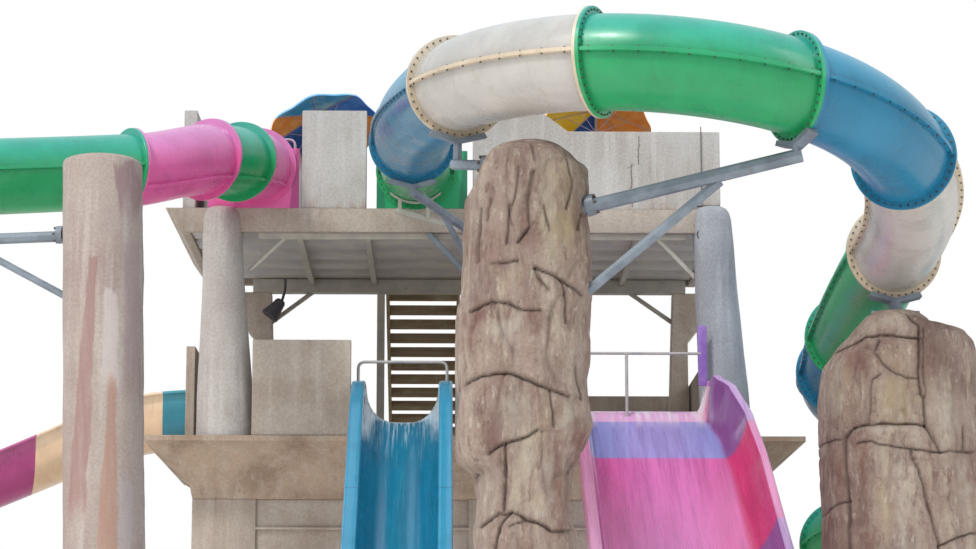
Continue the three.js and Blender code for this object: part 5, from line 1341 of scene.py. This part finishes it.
# The profile carried square to the bed, lifted by a slow wave that is the product of two sines
def makeBlueSlide(values):
    half = np.array(values["face"] + values["under"])
    mirror = half[1:-1][::-1] * (-1, 1)
    profile = np.concatenate([half, mirror])
    y, z, pitch, _ = slideWay(values["bed"], 0.09)
    up = np.broadcast_to(profile[:, 1], (len(y), len(profile)))
    grid = slideGrid(y, z, pitch, values["x"] + profile[:, 0], up)
    wave = 0.004 * np.sin(grid[..., 1] * 2.1) * np.sin(grid[..., 0] * 5)
    grid[..., 2] += wave
    faces = gridFaces(*grid.shape[:2], columnsClosed=True, capped=True)
    rim = ((profile[:, 1] > 0.6) | (np.abs(profile[:, 0]) > 0.7)).astype(float)
    low, high = np.array(values["sill"]) + (values["x"], 0, 0)
    sill = softBox(low, high, 0.012)
    points, faces, _ = merged([(grid, faces, 0), (*sill, 0)])
    marks = np.concatenate([np.tile(rim, len(y)), np.zeros(sill[0].size // 3)])
    piece = addPiece("blueSlide", points, faces, blueBed, None, {"rim": marks}, 42)
    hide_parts("blue_slide")
    rail = values["rail"]
    left, right = values["x"] - rail["half"], values["x"] + rail["half"]
    line = [(left, rail["y"], rail["foot"]), (left, rail["y"], rail["top"]),
            (right, rail["y"], rail["top"]), (right, rail["y"], rail["foot"])]
    parts = [pipe(roundedLine(line, rail["bend"]), rail["radius"])]
    for x in (left, right):
        plate = rail["plate"]
        parts.append(softBox((x - plate, rail["y"] - plate, rail["foot"]),
                             (x + plate, rail["y"] + plate, rail["foot"] + rail["thick"]), 0.004))
    addParts("blueSlideRail", parts, palePipe, node="blue_slide_handrail")


makeBlueSlide(blueSlide)

# Wide slide: each station of the bed also has its right edge, the rim's place and the bank's rise
pinkSlide = {
    "sill": ((1.67, -3.08, 6.9653), (3.5, -2.7, 7.24)),
    "bar": [(1.69, -3.15, 7.5003), (1.69, -3.15, 8.335), (3.7, -3.15, 8.335)],
    "post": ((2.48, -3.15, 7.2003), (2.48, -3.15, 8.33)),
    "board": ((3.655, -3.168, 7.8), (3.8, -3.132, 8.8)),
    "bed": [
        (-2.65, 7.38, -4, 3.64, 3.76, 0.15), (-2.9, 7.41, 8, 3.64, 3.79, 0.49), (-3.24, 7.24, 28, 3.7, 3.84, 0.75),
        (-3.56, 7.06, 30, 3.81, 4.06, 0.72), (-4.2, 6.7, 31, 3.9, 4.25, 0.52), (-5.4, 5.93, 33, 3.96, 4.34, 0.43),
        (-12.9, 1.06, 33, 3.99, 4.38, 0.4), (-13.6, 0.64, 27, 3.99, 4.38, 0.4), (-14.4, 0.32, 14, 3.99, 4.38, 0.38),
        (-15.3, 0.16, 3, 3.99, 4.38, 0.36), (-17.0, 0.115, 0, 3.99, 4.38, 0.36),
    ],
}


# Each point's across is a mix of a fixed part, the bed's right edge and the rim's place, and its up a mix of a
# fixed part and the bank's rise
def makePinkSlide(values):
    rows = [(1.6, 0, 0, -0.11, 0, 0, 0)]
    for x, z in ((1.6, 0.27), (1.605, 0.29), (1.62, 0.3), (1.75, 0.3), (1.766, 0.291), (1.772, 0.275)):
        rows.append((x, 0, 0, z, 0, 1, 0))
    for x, z in ((1.785, 0.15), (1.80, 0.07), (1.83, 0.02), (1.87, 0.0)):
        rows.append((x, 0, 0, z, 0, 0, 0))
    for t in np.linspace(0.08, 1, 12):
        rows.append((1.87 * (1 - t) - 0.05 * t, t, 0, 0, 0, 0, 0))
    for k in range(1, 12):
        t = (k / 11) ** 1.8
        side = t**0.55
        rows.append((0, 1 - side, side, -0.018 * t, t, 0, 1))
    for x, z in ((0.012, -0.002), (0.06, 0.0), (0.116, -0.002), (0.13, -0.018), (0.13, -0.138), (0.118, -0.15)):
        rows.append((x, 0, 1, z, 1, 1, 0))
    for t in (0.9, 0.6, 0.3, 0.0):
        rows.append((0.06 + 0.02 * t, 1 - t, t, -0.11 - 0.04 * t, t, 0, 0))
    table = np.array(rows)
    y, z, pitch, extra = slideWay(values["bed"], 0.1)
    right, rimX, rise = extra[:, 0:1], extra[:, 1:2], extra[:, 2:3]
    across = table[:, 0] + table[:, 1] * right + table[:, 2] * rimX
    up = table[:, 3] + table[:, 4] * rise
    grid = slideGrid(y, z, pitch, across, up)
    faces = gridFaces(*grid.shape[:2], columnsClosed=True, capped=True)
    sill = softBox(*values["sill"], 0.012)
    points, faces, _ = merged([(grid, faces, 0), (*sill, 0)])
    pad = np.zeros(sill[0].size // 3)
    marks = {"rim": np.concatenate([np.tile(table[:, 5], len(y)), pad]),
             "bank": np.concatenate([np.tile(table[:, 6], len(y)), pad])}
    piece = addPiece("pinkSlide", points, faces, pinkBed, None, marks, 42)
    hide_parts("pink_slide")
    parts = [pipe(roundedLine(values["bar"], 0.05), 0.024), pipe(np.linspace(*values["post"], 6), 0.026),
             (*softBox(*values["board"], 0.014), 1)]
    addParts("startBar", parts, [palePipe, violetBoard], node="pink_slide_start_bar")


makePinkSlide(pinkSlide)
print("open slides made")


# Black plastic: dusty, with a fine grit
def blackMaterial():
    material, tree, shader, spot = newMaterial("blackPlastic", 0.6)
    grit = noiseNode(tree, spot, 60.0, 3, 0.6)
    dust = rangeNode(tree, noiseNode(tree, spot, 5.0, 5, 0.6), 0.45, 0.75, 0.0, 0.5)
    joinLook(tree, shader, mixColour(tree, dust, rgb("4a4850"), rgb("69656a")), grit, 0.3, 0.003)
    return material


# Weathered boards: grain along the board, paler where they are worn
def boardMaterial():
    material, tree, shader, spot = newMaterial("stairBoards", 0.75)
    grain = noiseNode(tree, spot, 1.0, 6, 0.65, (1.2, 24.0, 24.0))
    worn = noiseNode(tree, spot, 2.6, 5, 0.6)
    colour = mixColour(tree, rangeNode(tree, grain, 0.35, 0.68), rgb("a3937a"), rgb("857459"))
    colour = mixColour(tree, rangeNode(tree, worn, 0.5, 0.7, 0.0, 0.6), colour, rgb("bdb19a"))
    joinLook(tree, shader, colour, grain, 0.5, 0.004)
    return material


blackPlastic = blackMaterial()
stairBoards = boardMaterial()
# Tub sides: painted shade, a darker strip along each side given, where the side turns away from the light, widening
# towards the foot
tubShadeSides = {
    "tube_a_tub": {"name": "pinkTub", "shell": "pinkShell", "shade": "97396f", "sides": ((-2.93, -1),), "top": 11.82},
    "tube_b_tub": {"name": "greenTub", "shell": "greenShell", "shade": "1f6e51", "sides": ((-1.64, 1), (-0.13, -1)),
                   "top": 11.79},
}


def tubMaterial(values):
    material = shells[values["shell"]].copy()
    material.name = values["name"]
    tree = material.node_tree
    shader = tree.nodes["Principled BSDF"]
    colour = shader.inputs["Base Color"].links[0].from_socket
    split = axesOf(tree, addNode(tree, "NewGeometry").outputs["Position"])
    fall = times(tree, mathNode(tree, "SUBTRACT", values["top"], split[2]), 0.1)
    for x, way in values["sides"]:
        inside = times(tree, mathNode(tree, "SUBTRACT", split[0], x), way)
        inside = mathNode(tree, "SUBTRACT", inside, fall)
        colour = mixColour(tree, rangeNode(tree, inside, 0.04, 0.06, 0.75, 0.0), colour, rgb(values["shade"]))
    tree.links.new(colour, shader.inputs["Base Color"])
    return material


for node, values in tubShadeSides.items():
    softenNode(node, tubMaterial(values), 0.02)
softenNode("spiral_exit", shells["blueShell"], 0)
softenNode("stair_flight", stairBoards, 0.004)

# Loudspeaker: circles of the given radii at shares of the way from start to end, and a pipe up to the beam
horn = {"start": (-3.5, 1.08, 9.95), "end": (-3.66, 1.07, 9.73),
        "shares": (-0.28, -0.24, -0.1, 0.1, 0.6, 0.95, 1.1, 1.14, 1.1, 0.9),
        "radii": (0.02, 0.07, 0.098, 0.105, 0.135, 0.165, 0.17, 0.15, 0.13, 0.02),
        "arm": [(-3.46, 1.08, 9.98), (-3.4, 1.08, 10.2), (-3.4, 1.08, 10.398)]}


def makeHorn(values):
    start, end = np.array(values["start"]), np.array(values["end"])
    line = start + np.array(values["shares"])[:, None] * (end - start)
    ahead = (end - start) / np.linalg.norm(end - start)
    side = np.cross(ahead, (0, 1.0, 0))
    turn = np.linspace(0, 2 * np.pi, 40, endpoint=False)
    ring = np.cos(turn)[:, None] * side + np.sin(turn)[:, None] * np.cross(ahead, side)
    body = line[:, None] + np.array(values["radii"])[:, None, None] * ring
    parts = [(body, gridFaces(*body.shape[:2], columnsClosed=True, capped=True)),
             pipe(roundedLine(values["arm"], 0.06), 0.025)]
    addParts("hornSpeaker", parts, blackPlastic, 50, "loudspeaker")


makeHorn(horn)

# Cradle in front of the deck: a band under tube B's throat, its flat section turned through an arc, on two posts
# with a beam and a bracket back to the deck
cradle = {"x": -0.985, "y": -3.45, "z": 11.385, "inner": 0.596, "outer": 0.612, "half": 0.05, "reach": 0.76,
          "posts": (-1.24, -0.78), "postHalf": 0.03, "postTop": 0.012, "around": 25,
          "beam": [(-1.3, -3.45, 10.655), (0.15, -3.3, 10.27), (0.3, -2.9, 10.42)],
          "beamSizes": ((0.08, 0.09), (0.06, 0.07))}


def makeCradle(values):
    turn = np.linspace(-values["reach"], values["reach"], values["around"])[:, None]
    radius = np.array([values["inner"], values["outer"], values["outer"], values["inner"]])
    side = values["half"] * np.array([-1, -1, 1, 1])
    band = np.stack([values["x"] + radius * np.sin(turn), values["y"] + side + 0 * turn,
                     values["z"] - radius * np.cos(turn)], axis=-1)
    parts = [(band, gridFaces(*band.shape[:2], columnsClosed=True, capped=True))]
    y, half, (first, second, third) = values["y"], values["postHalf"], values["beam"]
    slope = (second[2] - first[2]) / (second[0] - first[0])
    for x in values["posts"]:
        foot = first[2] + slope * (x - first[0])
        head = values["z"] - math.sqrt(values["outer"] ** 2 - (x - values["x"]) ** 2) + values["postTop"]
        parts.append(softBox((x - half, y - half, foot), (x + half, y + half, head), 0.004))
    thick, thin = values["beamSizes"]
    parts += [beam(first, second, *thick), beam(second, third, *thin)]
    addParts("throatCradle", parts, beamSteel, 30)


makeCradle(cradle)

# Boards across the front of each step, and the beam and posts behind them
stair = {"left": -1.53, "right": -0.285, "y": 1.75, "going": 0.3, "top": 10.8, "rise": 0.213, "steps": 17,
         "board": ((0.014, 0.195), (0.001, 0.004)),
         "frame": [((-3.9, 1.585, 10.29), (-1.62, 1.625, 10.5)), ((-1.745, 1.6, 6.9653), (-1.62, 1.72, 10.3)),
                   ((-0.2, 1.6, 6.9653), (-0.08, 1.72, 10.3))]}


def makeStair(values):
    parts = []
    (front, foot), (back, head) = values["board"]
    for k in range(1, values["steps"]):
        y, z = values["y"] + values["going"] * k, values["top"] - values["rise"] * (k + 1)
        parts.append(softBox((values["left"], y - front, z - foot), (values["right"], y - back, z - head), 0.003))
    addParts("stairBoards", parts, stairBoards, 30)
    # The rear beam and posts take the pale beamRender, painted light for their lit faces
    addParts("rearFrame", [softBox(*box, 0.006) for box in values["frame"]], wallMaterials["beamRender"], 30)


makeStair(stair)
softenNode("soffit_decking", soffitSheet, 0)
for node in ("umbrella_pole_left", "umbrella_pole_right"):
    softenNode(node, palePipe, 0.003)

fittings = {
    "tubRail": [(-3.95, -2.35, 11.79), (-3.95, -2.35, 12.12), (-3.05, -2.35, 12.12), (-3.02, -2.35, 11.79)],
    "conduit": [(3.775, -2.945, 12.22), (3.775, -2.945, 11.2), (3.775, -2.965, 10.82), (3.79, -3.0, 10.55)],
    "coil": ((3.87, -3.03, 10.36), (0.19, 0, 0.12)),
    "plates": [
        ((0.0, -13.49, 8.942), (-1.0, 0.2, 0.15), 0.12), ((1.25, -14.282, 8.26), (0.95, -0.18, 0.24), 0.13),
        ((-6.0, -8.38, 9.15), (-1.0, 0.15, 0.0), 0.13),
    ],
}


# Rail over the tub, conduit with a coil at its foot, and bolts in a circle on the face of each round plate
def makeFittings(values):
    addParts("tubRail", [pipe(roundedLine(values["tubRail"], 0.1), 0.022)], rosePipe)
    turn = np.linspace(0, 2 * np.pi, 40)
    centre, reach = np.array(values["coil"])
    loop = centre + reach * np.stack([np.cos(turn), 0 * turn, np.sin(turn)], axis=-1)
    parts = [pipe(roundedLine(values["conduit"], 0.05), 0.008, 8), pipe(loop, 0.008, 8)]
    addParts("parapetConduit", parts, boltSteel)
    places, ways = [], []
    for centre, way, radius in values["plates"]:
        way = np.array(way) / np.linalg.norm(way)
        side = np.cross(way, (0, 0, 1.0))
        side /= np.linalg.norm(side)
        up = np.cross(side, way)
        turn = np.arange(6) * np.pi / 3
        ring = 0.8 * radius * (np.cos(turn)[:, None] * side + np.sin(turn)[:, None] * up)
        places.append(np.array(centre) + ring + way * 0.05)
        ways.append(np.tile(way, (6, 1)))
    points, faces = boltHeads(np.concatenate(places), np.concatenate(ways), 0.022, 0.03)
    addPiece("plateBolts", points, faces, boltSteel, None, None, 30, False)


makeFittings(fittings)
print("fittings made")


# Umbrella cloth: woven, a little brighter along the sewn edges of its gores
def clothMaterial(name, base, pale):
    material, tree, shader, spot = newMaterial(name, 0.9, specular=0.2)
    fade = noiseNode(tree, spot, 2.0, 4, 0.6)
    colour = mixColour(tree, rangeNode(tree, fade, 0.35, 0.7), rgb(base), rgb(pale))
    edge = meshValue(tree, "seam")
    colour = mixColour(tree, times(tree, edge, 0.45), colour, rgb(pale))
    weave = addNode(tree, "TexWave", {"bands_direction": "DIAGONAL"}, Vector=spot, Scale=90.0)
    joinLook(tree, shader, colour, weave.outputs["Fac"], 0.3, 0.002)
    return material


cloths = {
    "navyCloth": clothMaterial("navyCloth", "27488a", "4b74b4"),
    "skyCloth": clothMaterial("skyCloth", "3f9fd6", "9ed0ea"),
    "blueCloth": clothMaterial("blueCloth", "2f6fd0", "5d95e2"),
    "orangeCloth": clothMaterial("orangeCloth", "e2873a", "f0b06a"),
    "yellowCloth": clothMaterial("yellowCloth", "eec12e", "f5d870"),
}
# The colours of each umbrella's gores start at the fourth from +X
umbrellas = [
    {"side": "left", "x": -2.726, "y": 0.3, "rimZ": 12.95, "radius": 1.03, "roll": -17,
     "gores": ["navyCloth", "orangeCloth", "skyCloth", "skyCloth", "blueCloth", "orangeCloth", "yellowCloth",
               "navyCloth"]},
    {"side": "right", "x": 2.222, "y": 0.3, "rimZ": 13.06, "radius": 1.0, "roll": 4,
     "gores": ["yellowCloth", "yellowCloth", "navyCloth", "orangeCloth", "orangeCloth", "orangeCloth", "orangeCloth",
               "navyCloth"]},
]
canopy = {"rise": 0.42, "pitch": -26, "rings": 26, "around": 96, "firstGore": 3, "gores": 8, "crown": 0.03,
          "hem": 0.035, "ribDrop": 0.012, "ribRadius": 0.007, "stayRadius": 0.006, "stayFoot": -0.12}


# Turns points about the x axis, then the y axis, by angles in degrees
def tipped(points, aboutX, aboutY):
    a, b = math.radians(aboutX), math.radians(aboutY)
    x, y, z = points[..., 0], points[..., 1], points[..., 2]
    y, z = y * math.cos(a) - z * math.sin(a), y * math.sin(a) + z * math.cos(a)
    x, z = x * math.cos(b) + z * math.sin(b), z * math.cos(b) - x * math.sin(b)
    return np.stack([x, y, z], axis=-1)


# Canopy: height falls with distance from the crown along an eased curve, and between the eight ribs the cloth
# hangs a little and its hem draws in
def canopyPoints(share, turn, radius, rise, drop=0.0):
    slack = np.cos(4 * (turn - np.pi / 8)) ** 2
    reach = radius * share * (1 - 0.05 * slack * share)
    height = rise * (1 - 0.85 * share - 0.15 * share**2) - 0.1056 * slack * share * (1.15 - share)
    return np.stack([reach * np.cos(turn), reach * np.sin(turn), height - drop], axis=-1)


# Cloth from the crown to the rim with a short upright hem, and under it a rib and a stay for each gore
def makeUmbrella(values, shape):
    crown, gores = shape["crown"], shape["gores"]
    share, turn = np.meshgrid(np.linspace(crown, 1, shape["rings"]),
                              np.linspace(0, 2 * np.pi, shape["around"], endpoint=False), indexing="ij")
    sheet = canopyPoints(share, turn, values["radius"], shape["rise"])
    hem = sheet[-1:] - (0, 0, shape["hem"])
    grid = np.concatenate([sheet, hem])
    place = np.array((values["x"], values["y"], values["rimZ"]))
    grid = tipped(grid, shape["pitch"], values["roll"]) + place
    faces = gridFaces(*grid.shape[:2], columnsClosed=True)
    perGore = shape["around"] // gores
    slots = np.tile((np.arange(shape["around"]) // perGore - shape["firstGore"]) % gores, grid.shape[0] - 1)
    seam = np.abs(np.sin(4 * turn)) < 0.22
    seam = np.concatenate([seam, np.ones((1, shape["around"]))]).astype(float)
    cloth = addPiece("umbrellaCloth" + values["side"].title(), grid, faces, [cloths[g] for g in values["gores"]], slots,
                     {"seam": seam}, 180, False)
    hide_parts("umbrella_canopy_" + values["side"])
    ribs = []
    for k in range(gores):
        angle = k * 2 * np.pi / gores
        along = np.linspace(crown, 1.0, 10)
        line = canopyPoints(along, np.full(10, angle), values["radius"], shape["rise"], shape["ribDrop"])
        foot = (crown * np.cos(angle), crown * np.sin(angle), shape["stayFoot"])
        stay = np.linspace(foot, line[5] - (0, 0, 0.005), 5)
        for bar, radius in ((line, shape["ribRadius"]), (stay, shape["stayRadius"])):
            ribs.append(pipe(tipped(bar, shape["pitch"], values["roll"]) + place, radius, 6))
    addParts("umbrellaRibs" + values["side"].title(), ribs, rosePipe)


for umbrella in umbrellas:
    makeUmbrella(umbrella, canopy)
print("umbrellas opened")


# Floor
def makeFloor(values):
    half = values["floorHalf"]
    mesh = bpy.data.meshes.new("floor")
    corners = [(-half, -half, 0), (half, -half, 0), (half, half, 0), (-half, half, 0)]
    mesh.from_pydata(corners, [], [(0, 1, 2, 3)])
    material = bpy.data.materials.new("floorPlain")
    material.use_nodes = True
    shader = material.node_tree.nodes["Principled BSDF"]
    shader.inputs["Base Color"].default_value = values["floorColour"]
    shader.inputs["Roughness"].default_value = 0.9
    mesh.materials.append(material)
    floor = placeObject("floor", mesh)


makeFloor(studio)
